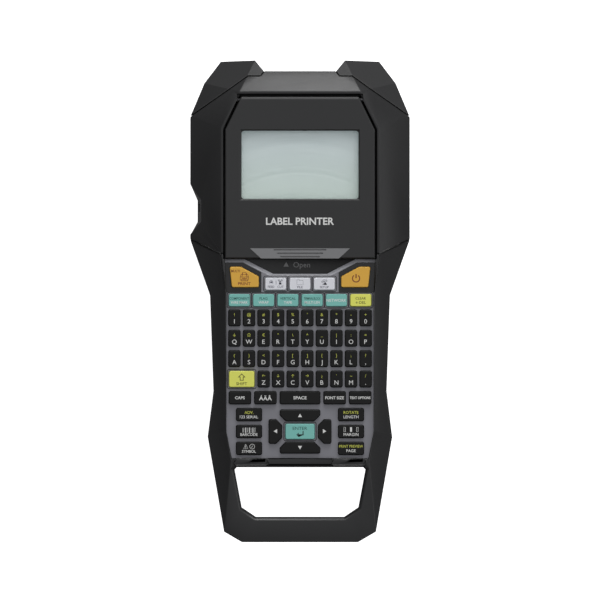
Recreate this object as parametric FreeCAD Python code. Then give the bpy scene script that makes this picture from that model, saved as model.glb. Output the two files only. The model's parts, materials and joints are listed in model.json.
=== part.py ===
import FreeCAD, Part
import math
import os

from FreeCAD import Vector

# A rugged handheld label printer, in millimetres. It lies on its back on four rubber feet, face up:
# X is its width, Y its length with the head at +Y and the handle at -Y, and Z its thickness.
# The origin is under the middle of its outline, on the surface that the feet stand on.

# Overall sizes
BODY_W = 129.0            # across the head
HEAD_T = 76.0             # from the feet to the face
FOOT_H = 3.0

# Lengths, from the tail to the head
GRIP_BAR_L = 14.3         # handle bar behind the hand opening
HAND_OPENING_L = 29.6
CROSS_BAR_L = 5.3         # bar between the hand opening and the keypad
OPEN_RECESS_L = 9.0       # finger recess in front of the lid
LID_L = 95.2
LID_RIM_L = 2.7           # face rim between the lid and the sloped top
TOP_SLOPE_L = 12.0
BUMPER_RISE = 6.4         # how far the corner bumpers stand past the head

# Keys
LETTER_KEY_L = 9.45
SIDE_KEY_L = 7.4
FUNCTION_KEY_L = 7.15
ROW_GAP = 2.5
NUMBER_ROW_GAP = 2.0
KEYPAD_END_MARGIN = 2.0
WHITE_KEY_MARGIN = 2.3
COLUMNS = 10
KEY_FIELD_MARGIN = 0.4    # from the outer keys' pitch to the bezel's edge
LETTER_GAP = 1.74
FUNCTION_GAP = 1.93
WIDE_GAP = 2.2
KEY_PROUD = 1.8           # above the bezel
KEY_H = 7.8
KEY_TRAVEL = 1.2
KEY_CLEAR = 0.3           # around a key in its hole
KEY_CORNER_R = 1.0
KEY_EDGE_R = 0.45
FLANGE_OUT = 0.45
FLANGE_T = 1.3

# Walls and depths below the face
WALL = 2.6
SIDE_FACET = 18.2         # width of the sloped side, from the face's rim to the side
FACET_DROP = 20.0         # its height on the head
BULGE_DROP = 18.0         # its height on the widest part of the handle
TOP_SLOPE_DROP = 9.0
SPLIT_DEPTH = 36.0        # parting plane of the two shells
GRIP_SPLIT_DEPTH = 20.0   # parting plane of the handle
GRIP_T = 30.0
LIP_T = 1.6               # lip of the handle's rear half, in the front half
LIP_H = 2.0
LIP_ROOT = 3.0
TAPER_DEPTH = 46.0        # where the back starts to taper
TAPER_IN = 8.0
SEAM_W = 0.7
SEAM_D = 0.8
SCOOP_BACK = 6.4          # depth of the label exit's hollow at the face
LID_T = 10.0
LID_CORNER_W = 9.7        # what the lid's slanted corners take off its width
LID_CORNER_L = 19.9
LID_GAP = 1.1             # groove around the lid
LID_END_GAP = 0.4         # between the lid and the keypad
LID_SKIN = 2.0
LID_EDGE_R = 0.9
LID_RIM_W = 1.3           # face rim beside the lid
LEDGE_T = 2.5
BEZEL_DEPTH = 2.4
BEZEL_T = 3.0
BEZEL_FIT = 0.2
BEZEL_CHAMFER = 1.9       # bright rim along the bezel's head side
RECESS_DEPTH = 6.5
SURROUND_T = 1.2
SURROUND_PROUD = 0.3

# Window and grip tab in the lid
WINDOW_SIDE = 9.65        # from the lid's side to the window
WINDOW_HEAD = 20.4        # from the lid's head end to the window
WINDOW_L = 39.9
WINDOW_R = 1.6
WINDOW_LAP = 2.0
WINDOW_T = 1.5
MODULE_T = 3.6
TAB_HALF_TOP = 29.2
TAB_HALF_LOW = 22.8
TAB_L = 5.9
TAB_T = 2.2

# Hinges and shafts
HINGE_R = 2.4             # rounded hinge edge of the lid
KNUCKLE_L = 6.5           # solid end of the lid that the pins run in
COVER_FIT = 0.15          # around the lid's inner cover
TINY = 0.01
HINGE_SWING = 2.8         # how far the lid's slanted sides swing past its hinge end
PIN_R = 1.2
RUN_FIT = 0.05            # radial clearance of what turns
MODULE = 0.8
PRESSURE_ANGLE = math.radians(20)
BACKLASH = 0.08
PINION_TEETH = 14
IDLER_TEETH = 36
PLATEN_TEETH = 24
SPINDLE_TEETH = 30
GEAR_T = 3.6
PLATEN_R = 5.0
PLATEN_SHAFT_R = 2.0
SPINDLE_R = 4.0
SPINDLE_SHAFT_R = 2.5
MOTOR_R = 10.0
MOTOR_SHAFT_R = 1.0
AXLE_R = 1.5
SLIP = 0.3                # between neighbours that slide or swing
LABEL_GAP = 0.35          # between the print head and the platen

# Boards, battery and cassette bay
BOARD_T = 1.6
MAT_T = 1.4
MAIN_BOARD_DEPTH = 24.0
BAY_FLOOR_Z = 29.5
BAY_WALL = 1.6
BATTERY_L = 39.0
BATTERY_T = 19.0
DOOR_T = 2.0
SCREW_R = 1.5

REACH = 500.0             # larger than the printer


# Stations along the length, worked out from the lengths above
ROWS = {}


def key_rows(tail_end):
    """Centre of each row of keys, from the tail end of the keypad up, and the last row's top."""
    edge = tail_end + KEYPAD_END_MARGIN
    sizes = [("side_low", SIDE_KEY_L, ROW_GAP), ("side_mid", SIDE_KEY_L, ROW_GAP),
             ("side_high", SIDE_KEY_L, ROW_GAP), ("caps", SIDE_KEY_L, ROW_GAP),
             ("lower", LETTER_KEY_L, ROW_GAP), ("home", LETTER_KEY_L, ROW_GAP),
             ("upper", LETTER_KEY_L, ROW_GAP), ("number", LETTER_KEY_L, NUMBER_ROW_GAP),
             ("function", FUNCTION_KEY_L, ROW_GAP), ("white", FUNCTION_KEY_L, 0)]
    for name, size, gap in sizes:
        ROWS[name] = edge + size / 2
        edge += size + gap
    return edge


ROWS_L = key_rows(0)
KEYPAD_L = ROWS_L + WHITE_KEY_MARGIN + OPEN_RECESS_L
LENGTH = (GRIP_BAR_L + HAND_OPENING_L + CROSS_BAR_L + KEYPAD_L + LID_L + LID_RIM_L
          + TOP_SLOPE_L + BUMPER_RISE)
Y_TAIL = -LENGTH / 2
Y_OPENING = Y_TAIL + GRIP_BAR_L
Y_BAR = Y_OPENING + HAND_OPENING_L
Y_KEYPAD = Y_BAR + CROSS_BAR_L
Y_WHITE_EDGE = key_rows(Y_KEYPAD) + WHITE_KEY_MARGIN
Y_LID = Y_WHITE_EDGE + OPEN_RECESS_L
Y_HINGE_END = Y_LID + LID_L
Y_SLOPE = Y_HINGE_END + LID_RIM_L
Y_HEAD = Y_SLOPE + TOP_SLOPE_L
Y_END = Y_HEAD + BUMPER_RISE

# Levels
Z_FACE = HEAD_T
Z_SPLIT = Z_FACE - SPLIT_DEPTH
Z_GRIP_SPLIT = Z_FACE - GRIP_SPLIT_DEPTH
Z_GRIP = Z_FACE - GRIP_T
Z_TAPER = Z_FACE - TAPER_DEPTH
Z_LID = Z_FACE - LID_T
Z_LEDGE = Z_LID - LID_END_GAP
Z_BEZEL = Z_FACE - BEZEL_DEPTH
Z_BEZEL_LOW = Z_BEZEL - BEZEL_T
Z_RECESS = Z_FACE - RECESS_DEPTH
Z_KEY = Z_BEZEL + KEY_PROUD
Z_KEY_LOW = Z_KEY - KEY_H
Z_MAT = Z_KEY_LOW - KEY_TRAVEL - SLIP
Z_KEYPAD_BOARD = Z_MAT - MAT_T - BOARD_T
Z_MAIN_BOARD = Z_FACE - MAIN_BOARD_DEPTH
Z_INSIDE = FOOT_H + WALL
Z_BAY = BAY_FLOOR_Z + BAY_WALL
Z_BAY_TOP = Z_LEDGE - LEDGE_T
Z_GEARS = BAY_FLOOR_Z - SLIP * 2 - GEAR_T
Z_PLATE = Z_GEARS - SLIP * 2

# Half widths
SIDE = BODY_W / 2
RIM = SIDE - SIDE_FACET
LID_HALF = RIM - LID_RIM_W - LID_GAP
KEYPAD_HALF = LID_HALF - 0.8
PITCH = 2 * (KEYPAD_HALF - KEY_FIELD_MARGIN) / COLUMNS

# Left half of the outline, from the head down
HEAD_TOP_IN = (-(SIDE - 38.1), Y_END)
HEAD_TOP_OUT = (-(SIDE - 17.9), Y_END - 0.4)
SHOULDER = (-(SIDE - 8.3), Y_HEAD - 6.8)
SIDE_TOP = (-SIDE, Y_SLOPE - 14.5)
SIDE_LOW = (-SIDE, Y_LID + 11.0)
WAIST = (-(SIDE - 11.7), Y_LID - 21.5)
STRUT = (-(SIDE - 13.7), ROWS["caps"] + 3.8)
BULGE = (-(SIDE - 10.3), Y_KEYPAD + 12.1)
TAIL_OUT = (-(SIDE - 20.0), Y_TAIL + 6.1)
TAIL_IN = (-(SIDE - 30.5), Y_TAIL)
# Left edge of the flat face
FACE_TOP = (-(RIM - 10.9), Y_SLOPE)
FACE_CORNER = (-RIM, Y_SLOPE - 21.3)
FACE_SIDE = (-RIM, Y_LID + 2.6)
FACE_WAIST = (-(RIM - 2.7), Y_LID - 21.5)
FACE_STRUT = (-(RIM - 3.2), Y_KEYPAD + 15.6)
FACE_HIP = (-(RIM - 5.7), Y_KEYPAD - 1.9)
# Back profile: the flat back, the slope up to the handle, and the steep end of the case
BACK_BEND = Y_LID - 43.0
BACK_STEP = (Y_KEYPAD + 6.0, FOOT_H + 28.0)


def block(x, y, z):
    """A box from its low and high places along each axis."""
    return Part.makeBox(x[1] - x[0], y[1] - y[0], z[1] - z[0], Vector(x[0], y[0], z[0]))


def pin(x, y, radius, low, high):
    """An upright round bar."""
    return Part.makeCylinder(radius, high - low, Vector(x, y, low))


def prism(outline, low, high):
    corners = [Vector(x, y, low) for x, y in outline]
    return Part.Face(Part.makePolygon(corners + corners[:1])).extrude(Vector(0, 0, high - low))


def rounded(outline, radius, low, high):
    """A prism with its upright edges rounded."""
    solid = prism(outline, low, high)
    upright = [e for e in solid.Edges if abs(e.Vertexes[0].Z - e.Vertexes[1].Z) > (high - low) / 2]
    return solid.makeFillet(radius, upright)


def rectangle(x, y, width, length):
    return [(x - width / 2, y + length / 2), (x - width / 2, y - length / 2),
            (x + width / 2, y - length / 2), (x + width / 2, y + length / 2)]


def both_sides(left):
    """Close a left-hand outline, given from the head down, with its mirror image."""
    return left + [(-x, y) for x, y in reversed(left)]


def flipped(outline):
    return [(-x, y) for x, y in outline]


def outset(outline, distance):
    """Move every side of a closed outline outwards, and keep its corners sharp."""
    sides = list(zip(outline, outline[1:] + outline[:1]))
    turn = math.copysign(1, sum(ax * by - bx * ay for (ax, ay), (bx, by) in sides))
    lines = []
    for (ax, ay), (bx, by) in sides:
        run = math.hypot(bx - ax, by - ay)
        nx = turn * (by - ay) / run
        ny = turn * (ax - bx) / run
        lines.append((nx, ny, nx * ax + ny * ay + distance))
    moved = []
    for (px, py, pc), (qx, qy, qc) in zip(lines[-1:] + lines[:-1], lines):
        cross = px * qy - qx * py
        moved.append(((pc * qy - qc * py) / cross, (px * qc - qx * pc) / cross))
    return moved


def join(shapes):
    return shapes[0].multiFuse(shapes[1:]).removeSplitter()


def mirror(shape):
    return shape.mirror(Vector(0, 0, 0), Vector(1, 0, 0))


def at(point, z):
    return Vector(point[0], point[1], z)


def plane(a, b, c, inside):
    """The plane through three points, with its normal away from a point inside the body."""
    normal = (b - a).cross(c - a).normalize()
    if normal.dot(inside - a) > 0:
        normal = normal * -1
    return a, normal


def height_on(surface, point):
    origin, normal = surface
    run = normal.x * (point[0] - origin.x) + normal.y * (point[1] - origin.y)
    return origin.z - run / normal.z


def wall_plane(a, b, inside):
    return plane(at(a, 0), at(b, 0), at(a, 1), inside)


def taper_plane(a, b, inside):
    """The tapered back below one side of the outline."""
    run = Vector(b[0] - a[0], b[1] - a[1], 0).normalize()
    inwards = Vector(-run.y, run.x, 0)
    if inwards.dot(inside - at(a, 0)) < 0:
        inwards = inwards * -1
    low = at(a, FOOT_H) + inwards * TAPER_IN
    return plane(at(a, Z_TAPER), at(b, Z_TAPER), low, inside)


def both(planes):
    """Left-hand planes with their mirror images."""
    return planes + [(Vector(-p.x, p.y, p.z), Vector(-n.x, n.y, n.z)) for p, n in planes]


def convex(surfaces, inset, ends=()):
    """The space behind a set of planes, each moved in by an inset, and behind fixed end planes."""
    shape = block((-REACH / 2, REACH / 2), (-REACH / 2, REACH / 2), (-REACH / 2, REACH / 2))
    moved = [(p - n * inset, n) for p, n in surfaces] + list(ends)
    for point, normal in moved:
        slab = Part.makeBox(REACH * 2, REACH * 2, REACH * 2, Vector(-REACH, -REACH, 0))
        slab.Placement = FreeCAD.Placement(point, FreeCAD.Rotation(Vector(0, 0, 1), normal))
        shape = shape.cut(slab)
    return shape


def across(y, facing):
    """An end plane square to the length, facing the head (1) or the tail (-1)."""
    return Vector(0, y, 0), Vector(0, facing, 0)


MIDDLE = Vector(0, (Y_LID + Y_HEAD) / 2, Z_FACE / 2)
PALM = Vector(0, Y_KEYPAD + 20, Z_FACE - 20)
GRIP_MIDDLE = Vector(0, Y_OPENING, Z_FACE - 12)
FACE = (Vector(0, 0, Z_FACE), Vector(0, 0, 1))
BACK = (Vector(0, 0, FOOT_H), Vector(0, 0, -1))
TOP_SLOPE = plane(Vector(0, Y_SLOPE, Z_FACE), Vector(1, Y_SLOPE, Z_FACE),
                  Vector(0, Y_HEAD, Z_FACE - TOP_SLOPE_DROP), MIDDLE)
HEAD_BACK = plane(Vector(0, Y_HEAD, FOOT_H + 13), Vector(1, Y_HEAD, FOOT_H + 13),
                  Vector(0, Y_HEAD - 9, FOOT_H), MIDDLE)
CORNER_FACET = plane(at(FACE_TOP, Z_FACE), at(FACE_CORNER, Z_FACE),
                     at(SIDE_TOP, Z_FACE - FACET_DROP), MIDDLE)
TOP_FACET = plane(at(FACE_TOP, Z_FACE), at(HEAD_TOP_IN, height_on(TOP_SLOPE, HEAD_TOP_IN)),
                  at(SHOULDER, height_on(CORNER_FACET, SHOULDER)), MIDDLE)
SIDE_FACET_PLANE = plane(at(FACE_CORNER, Z_FACE), at(FACE_SIDE, Z_FACE),
                         at(SIDE_LOW, Z_FACE - FACET_DROP), MIDDLE)
WAIST_FACET = plane(at(FACE_SIDE, Z_FACE), at(FACE_WAIST, Z_FACE),
                    at(SIDE_LOW, Z_FACE - FACET_DROP), MIDDLE)
STRUT_FACET = plane(at(FACE_WAIST, Z_FACE), at(FACE_STRUT, Z_FACE),
                    at(WAIST, height_on(WAIST_FACET, WAIST)), PALM)
BULGE_LOW = at(BULGE, Z_FACE - BULGE_DROP)
HIP_FACET = plane(at(STRUT, height_on(STRUT_FACET, STRUT)), at(FACE_STRUT, Z_FACE),
                  BULGE_LOW, PALM)
PALM_FACET = plane(at(FACE_STRUT, Z_FACE), at(FACE_HIP, Z_FACE), BULGE_LOW, PALM)
GRIP_FACET = plane(at(FACE_HIP, Z_FACE), at(TAIL_OUT, Z_FACE), BULGE_LOW, GRIP_MIDDLE)
BACK_SLOPE = plane(Vector(0, BACK_BEND, FOOT_H), Vector(1, BACK_BEND, FOOT_H),
                   Vector(0, BACK_STEP[0], BACK_STEP[1]), PALM)
BACK_END = plane(Vector(0, BACK_STEP[0], BACK_STEP[1]), Vector(1, BACK_STEP[0], BACK_STEP[1]),
                 Vector(0, FACE_HIP[1] - 2, Z_GRIP), PALM)
GRIP_BACK = plane(Vector(0, FACE_HIP[1], Z_GRIP), Vector(1, FACE_HIP[1], Z_GRIP),
                  Vector(0, Y_TAIL, Z_GRIP + 2), GRIP_MIDDLE)


def head(inset, head_end):
    """The head, from the waist up to a head end plane."""
    sides = [HEAD_TOP_IN, HEAD_TOP_OUT, SHOULDER, SIDE_TOP, SIDE_LOW, WAIST]
    walls = [wall_plane(a, b, MIDDLE) for a, b in zip(sides, sides[1:])]
    tapers = [taper_plane(a, b, MIDDLE) for a, b in zip(sides[1:], sides[2:])]
    facets = [TOP_FACET, CORNER_FACET, SIDE_FACET_PLANE, WAIST_FACET]
    surfaces = both(walls + tapers + facets) + [FACE, BACK, TOP_SLOPE, HEAD_BACK]
    surfaces.append(across(head_end, 1))
    return convex(surfaces, inset, [across(WAIST[1], -1)])


def strut(inset):
    """The case beside the upper keys, from the waist to the strut's narrowest place."""
    sides = [wall_plane(WAIST, STRUT, PALM), taper_plane(WAIST, STRUT, PALM), STRUT_FACET]
    surfaces = both(sides) + [FACE, BACK, BACK_SLOPE]
    return convex(surfaces, inset, [across(WAIST[1], 1), across(STRUT[1], -1)])


def palm(inset):
    """The case beside the lower keys, down to the creases where the handle starts."""
    sides = [wall_plane(STRUT, BULGE, PALM), wall_plane(BULGE, FACE_HIP, PALM),
             taper_plane(STRUT, BULGE, PALM), STRUT_FACET, HIP_FACET, PALM_FACET]
    surfaces = both(sides) + [FACE, BACK_SLOPE, BACK_END, across(FACE_HIP[1], -1)]
    return convex(surfaces, inset, [across(STRUT[1], 1)])


PALM_OUTLINE = both_sides([STRUT, BULGE, FACE_HIP])


def grip(inset):
    """The handle's loop with its opening still filled."""
    sides = [wall_plane(BULGE, TAIL_OUT, GRIP_MIDDLE), wall_plane(TAIL_OUT, TAIL_IN, GRIP_MIDDLE),
             GRIP_FACET]
    surfaces = both(sides) + [FACE, GRIP_BACK, across(Y_TAIL, -1)]
    filled = convex(surfaces, inset, [across(BULGE[1], 1)])
    return filled.cut(prism(outset(PALM_OUTLINE, inset), -REACH / 4, REACH / 4))


def case(inset):
    """The head and the keypad's housing, moved in by an inset."""
    return join([head(inset, Y_HEAD), strut(inset), palm(inset)])


HAND_OPENING = both_sides([(-(SIDE - 27.4), Y_BAR), (-(SIDE - 26.0), Y_BAR - 1.6),
                           (-(SIDE - 30.2), Y_OPENING + 5.6), (-(SIDE - 38.5), Y_OPENING)])
LID = both_sides([(-(LID_HALF - LID_CORNER_W), Y_HINGE_END), (-LID_HALF, Y_HINGE_END - LID_CORNER_L),
                  (-LID_HALF, Y_LID)])
RECESS_TOP = KEYPAD_HALF - 10.5
RECESS_LOW = RECESS_TOP - 16.8
BEZEL = both_sides([(-RECESS_LOW, Y_WHITE_EDGE), (-RECESS_TOP, Y_LID - LID_END_GAP),
                    (-LID_HALF, Y_LID - LID_END_GAP), (-KEYPAD_HALF, Y_LID - 20.0),
                    (-KEYPAD_HALF, Y_KEYPAD + 15.6), (-(KEYPAD_HALF - 3.1), Y_KEYPAD)])
SEAM = [(-(SIDE - 43.3), Y_HEAD), (-(SIDE - 41.3), Y_HEAD - 2.8), (-(SIDE - 33.9), Y_HEAD - 2.8),
        (-(SIDE - 23.6), Y_HEAD - 10.2), (-(SIDE - 1.6), Y_SLOPE - 13.2),
        (-(SIDE + 20), Y_SLOPE - 28.0), (-(SIDE + 20), Y_END + 20), (-(SIDE - 54.4), Y_END + 20)]
BUMPER_LOW = Z_TAPER - 16.0


def notch_free(outline):
    """A bumper's region, bounded towards the middle by the slanted side of the head's notch."""
    inner = [HEAD_TOP_IN[0] + (HEAD_TOP_IN[0] - SEAM[0][0]) * 3, Y_END + 3 * BUMPER_RISE]
    return outline[:-1] + [(inner[0], inner[1])]


def seam_groove(skin, outline):
    """A shallow groove in the skin on both sides of a seam."""
    band = prism(outset(outline, SEAM_W / 2), 0, REACH / 4)
    return skin.common(band.cut(prism(outset(outline, -SEAM_W / 2), -1, REACH / 4 + 1)))


def side_groove(skin):
    """The groove across each side facet where the head's frame meets the keypad's frame."""
    start = Vector(SIDE_LOW[0] - 2.0, SIDE_LOW[1] + 1.0, 0)
    run = Vector(FACE_SIDE[0] - start.x, FACE_SIDE[1] - start.y, 0)
    across_run = Vector(-run.y, run.x, 0).normalize() * (SEAM_W / 2)
    corners = [start + across_run, start - across_run, start + run - across_run,
               start + run + across_run]
    line = prism([(p.x, p.y) for p in corners], Z_SPLIT, Z_FACE + 1)
    end = block((FACE_SIDE[0] - 0.2, -LID_HALF), (FACE_SIDE[1] - 0.3, FACE_SIDE[1] + 0.5),
                (Z_SPLIT, Z_FACE + 1))
    left = skin.common(line.fuse(end))
    return left.fuse(mirror(left))


def scoop():
    """The smooth hollow in the left side where labels come out, deeper towards the face."""
    low_y = SIDE_LOW[1] + 3.2
    high_y = SIDE_TOP[1] - 39.8

    def outline(depth, z):
        x = -SIDE
        points = [(x - 8, high_y + 6), (x - 8, low_y - 6), (x, low_y), (x + depth, low_y + 7.5),
                  (x + depth, high_y - 9.3), (x, high_y)]
        corners = [Vector(px, py, z) for px, py in points]
        return Part.makePolygon(corners + corners[:1])

    low = SCOOP_BACK - 2.3
    return Part.makeLoft([outline(low, -5), outline(low, Z_SPLIT - 6),
                          outline(SCOOP_BACK, Z_FACE - 14), outline(SCOOP_BACK, Z_FACE + 4)],
                         True, True)


def flared_opening():
    """The hand opening, with its edges broken at the face and at the back."""
    straight = prism(HAND_OPENING, -10, Z_FACE + 10)

    def flare(near, far):
        rings = []
        for distance, z in ((0, near), (2.0, far)):
            corners = [Vector(x, y, z) for x, y in outset(HAND_OPENING, distance)]
            rings.append(Part.makePolygon(corners + corners[:1]))
        return Part.makeLoft(rings, True, True)

    return join([straight, flare(Z_FACE - 1.5, Z_FACE + 0.5), flare(Z_GRIP + 3.5, Z_GRIP - 0.5)])


# Drive train places, under the bay's floor
PLATEN_AT = (-(LID_HALF - 9.4), Y_LID + 35.0)


def step_from(place, teeth, next_teeth, degrees):
    """Where a meshing gear's centre lies, in a direction from another gear's centre."""
    apart = MODULE * (teeth + next_teeth) / 2
    turn = math.radians(degrees)
    return place[0] + apart * math.cos(turn), place[1] + apart * math.sin(turn)


IDLER_TURN = 25
SPINDLE_TURN = 20
PINION_TURN = -80
IDLER_AT = step_from(PLATEN_AT, PLATEN_TEETH, IDLER_TEETH, IDLER_TURN)
SPINDLE_AT = step_from(IDLER_AT, IDLER_TEETH, SPINDLE_TEETH, SPINDLE_TURN)
PINION_AT = step_from(IDLER_AT, IDLER_TEETH, PINION_TEETH, PINION_TURN)
LABEL_Y = PLATEN_AT[1] - PLATEN_R - LABEL_GAP / 2
LABEL_TOP = Z_SPLIT + 15.0
EXIT_W = 5.0
Z_BRACKET_TOP = LABEL_TOP + 3.0
BRACKET_T = 1.2
HINGE_AT = (Y_HINGE_END - HINGE_R, Z_FACE - HINGE_R)
PIN_END = LID_HALF - 5.4      # inside the shell's corner

# Door in the back, flap over the sockets
DOOR_HALF = LID_HALF - 13.5
DOOR_LOW = BACK_BEND + 0.3
BATTERY_LOW = BACK_BEND + 6.0
BATTERY_END = BATTERY_LOW + BATTERY_L
DOOR_END = BATTERY_END + 3.0
DOOR_TONGUE = 1.2
DOOR_FRAME_T = 5.0
FLAP_Y = (Y_LID + 45.0, Y_LID + 73.0)
FLAP_Z = (Z_SPLIT + 3.0, Z_SPLIT + 14.0)
FLAP_T = 1.6
FLAP_PIN_R = 0.55
JACK_R = 3.1
SOCKET_FACE = SIDE - WALL - 4.4

# Screws: place, how high the head's seat is, and how high the front shell's boss reaches
SHELL_SCREWS = [(SIDE - 14.5, Y_SLOPE - 23.0, FOOT_H + 5.0, Z_FACE - 2.0),
                (SIDE - 14.5, Y_LID + 9.0, FOOT_H + 5.0, Z_FACE - 2.0),
                (SIDE - 19.5, ROWS["caps"] - 3.5, FOOT_H + 23.0, Z_KEYPAD_BOARD - 2.9)]
SCREW_HEAD_R = 2.8
SCREW_HEAD_T = 2.4
BOSS_R = 4.6
SCREW_END = Z_SPLIT + 12.0
SPACERS = [(KEYPAD_HALF - 13.0, ROWS["lower"]), (KEYPAD_HALF - 13.0, ROWS["white"] - 8.0)]
FEET = [(SIDE - 19.0, Y_SLOPE - 12.0), (SIDE - 25.9, BACK_BEND + 9.0)]
FOOT_R = 5.3
POSTS = [(PLATEN_AT[0] - 6.0, PLATEN_AT[1] + 16.0), (SPINDLE_AT[0] + 12.0, SPINDLE_AT[1] - 22.0),
         (SPINDLE_AT[0] + 8.0, SPINDLE_AT[1] + 15.0)]
POST_R = 3.0
BOARD_SCREWS = [(KEYPAD_HALF + 1.35, ROWS["caps"]), (KEYPAD_HALF + 1.35, ROWS["upper"]),
                (KEYPAD_HALF + 1.35, ROWS["function"])]


def mirrored_places(places):
    return [(side * p[0],) + tuple(p[1:]) for p in places for side in (-1, 1)]


def key_outlines():
    """Outline of every key, by the name of the piece that it belongs to."""
    keys = {}
    for name, row in (("number_keys", "number"), ("upper_letter_keys", "upper"),
                      ("home_letter_keys", "home"), ("lower_letter_keys", "lower")):
        first = 2 if row == "lower" else 0
        keys[name] = [rectangle((i - (COLUMNS - 1) / 2) * PITCH, ROWS[row], PITCH - LETTER_GAP,
                                LETTER_KEY_L) for i in range(first, COLUMNS)]
    keys["shift_key"] = [rectangle(-4 * PITCH, ROWS["lower"], 2 * PITCH - WIDE_GAP, LETTER_KEY_L)]
    wide = COLUMNS * PITCH / 6
    function = [rectangle((i - 2.5) * wide, ROWS["function"], wide - FUNCTION_GAP, FUNCTION_KEY_L)
                for i in range(6)]
    keys["function_keys"] = function[:5]
    keys["clear_key"] = function[5:]
    keys["tool_keys"] = [rectangle(place * wide, ROWS["white"], wide - FUNCTION_GAP,
                                   FUNCTION_KEY_L) for place in (-1, 0, 1)]
    keys["edit_keys"] = [rectangle(place * PITCH, ROWS["caps"], 1.75 * PITCH - WIDE_GAP,
                                   SIDE_KEY_L) for place in (-4.125, -2.375, 2.375, 4.125)]
    keys["space_key"] = [rectangle(0, ROWS["caps"], 3 * PITCH - WIDE_GAP, SIDE_KEY_L)]
    keys["side_keys"] = [rectangle(place * PITCH, ROWS[row], 2 * PITCH - WIDE_GAP, SIDE_KEY_L)
                         for place in (-3.5, 3.5) for row in ("side_low", "side_mid", "side_high")]
    middle = ROWS["side_mid"]
    keys["enter_key"] = [rectangle(0, middle, 2 * PITCH, 9.0)]
    half, near, far, cut = 1.37 * PITCH, 6.2, 12.7, 3.4
    down = [(-half, middle - far), (-half, middle - near - cut), (-half + cut, middle - near),
            (half - cut, middle - near), (half, middle - near - cut), (half, middle - far)]
    keys["down_key"] = [down]
    keys["up_key"] = [[(x, 2 * middle - y) for x, y in down]]
    inner, outer = 1.25 * PITCH, 2.13 * PITCH
    left = [(-outer, middle + 7), (-outer, middle - 7), (-inner - cut, middle - 7),
            (-inner, middle - 7 + cut), (-inner, middle + 7 - cut), (-inner - cut, middle + 7)]
    keys["left_key"] = [left]
    keys["right_key"] = [flipped(left)]
    top = Y_LID - 4.9
    right = 2.83 * PITCH
    corner = RECESS_TOP + 2.2
    fall = (Y_LID - Y_WHITE_EDGE) / (RECESS_TOP - RECESS_LOW)
    low = ROWS["white"] - 2.0
    print_key = [(-(LID_HALF - 2.7), top), (-(LID_HALF - 4.0), low), (-right, low),
                 (-right, top - (corner - right) * fall), (-corner, top)]
    keys["print_key"] = [print_key]
    keys["power_key"] = [flipped(print_key)]
    return keys


KEYS = key_outlines()


def surround_outline():
    """The dark plate around the print key, set in the bezel's corner."""
    top = Y_LID - LID_END_GAP - BEZEL_CHAMFER
    corner = RECESS_TOP + 0.8
    right = 2.65 * PITCH
    fall = (Y_LID - Y_WHITE_EDGE) / (RECESS_TOP - RECESS_LOW)
    low = ROWS["function"] + FUNCTION_KEY_L / 2 + 1.0
    return [(-LID_HALF, top), (-(KEYPAD_HALF + 0.1), low), (-right, low),
            (-right, top - (corner - right) * fall), (-corner, top)]


def skin():
    return CASE.cut(case(SEAM_D))


CASE = case(0)
SKIN = skin()
LEFT_SEAM = notch_free(SEAM)


def bumper_spaces():
    left = prism(LEFT_SEAM, BUMPER_LOW, REACH / 4)
    return [left, mirror(left)]


def seam_grooves():
    left = seam_groove(SKIN, LEFT_SEAM).common(block((-REACH, REACH), (-REACH, REACH),
                                                     (BUMPER_LOW, REACH)))
    return [left, mirror(left), side_groove(SKIN)]


def inside():
    """The hollow of the two shells, kept off the walls of the bumpers' seats."""
    seats = prism(outset(LEFT_SEAM, WALL), BUMPER_LOW - WALL, REACH / 4)
    return case(WALL).cut(seats).cut(mirror(seats))


INSIDE = inside()
BUMPERS = bumper_spaces()
GROOVES = seam_grooves()
SCOOP = scoop()
SCOOP_BACKING = block((-SIDE, -SIDE + SCOOP_BACK + WALL), (SIDE_LOW[1], SIDE_TOP[1] - 36.5),
                      (0, Z_FACE))
EXIT_SLOT = block((-SIDE - 1, -SIDE + 14), (LABEL_Y - EXIT_W / 2, LABEL_Y + EXIT_W / 2),
                  (Z_BAY + 1.0, LABEL_TOP))
ABOVE = block((-REACH, REACH), (-REACH, REACH), (Z_SPLIT, REACH))
BELOW = block((-REACH, REACH), (-REACH, REACH), (-REACH, Z_SPLIT))


def lid_opening():
    """The pocket for the lid with the groove around it, and the mouth of the bay below it."""
    pocket = outset(LID, LID_GAP)
    pocket[2] = (pocket[2][0], Y_LID - LID_END_GAP)
    pocket[3] = (pocket[3][0], Y_LID - LID_END_GAP)
    mouth = outset(LID, -3.5)
    reach = LID_HALF - LID_CORNER_W + HINGE_SWING
    swing = block((-reach, reach), (HINGE_AT[0] - 0.3, Y_HINGE_END + LID_GAP),
                  (HINGE_AT[1] - 0.8, Z_FACE + 1))
    return [prism(pocket, Z_LEDGE, Z_FACE + 1), prism(mouth, Z_BAY_TOP - 1, Z_LEDGE + 1), swing]


def keypad_opening():
    """The bezel's seat and the mouth for the keys below it."""
    seat = prism(outset(BEZEL, BEZEL_FIT), Z_BEZEL_LOW, Z_FACE + 1)
    mouth = prism(outset(BEZEL, -0.8), Z_KEYPAD_BOARD - 1, Z_BEZEL_LOW + 1)
    return [seat, mouth]


def finger_recess():
    """The slope-ended hollow that a finger reaches the lid's tab through."""
    low = Y_WHITE_EDGE - 0.5
    high = Y_LID - LID_END_GAP
    outline = [(-RECESS_TOP - 1.0, high + 0.2), (-RECESS_LOW - 0.3, low), (RECESS_LOW + 0.3, low),
               (RECESS_TOP + 1.0, high + 0.2)]
    return prism(outline, Z_RECESS, Z_FACE + 1)


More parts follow.
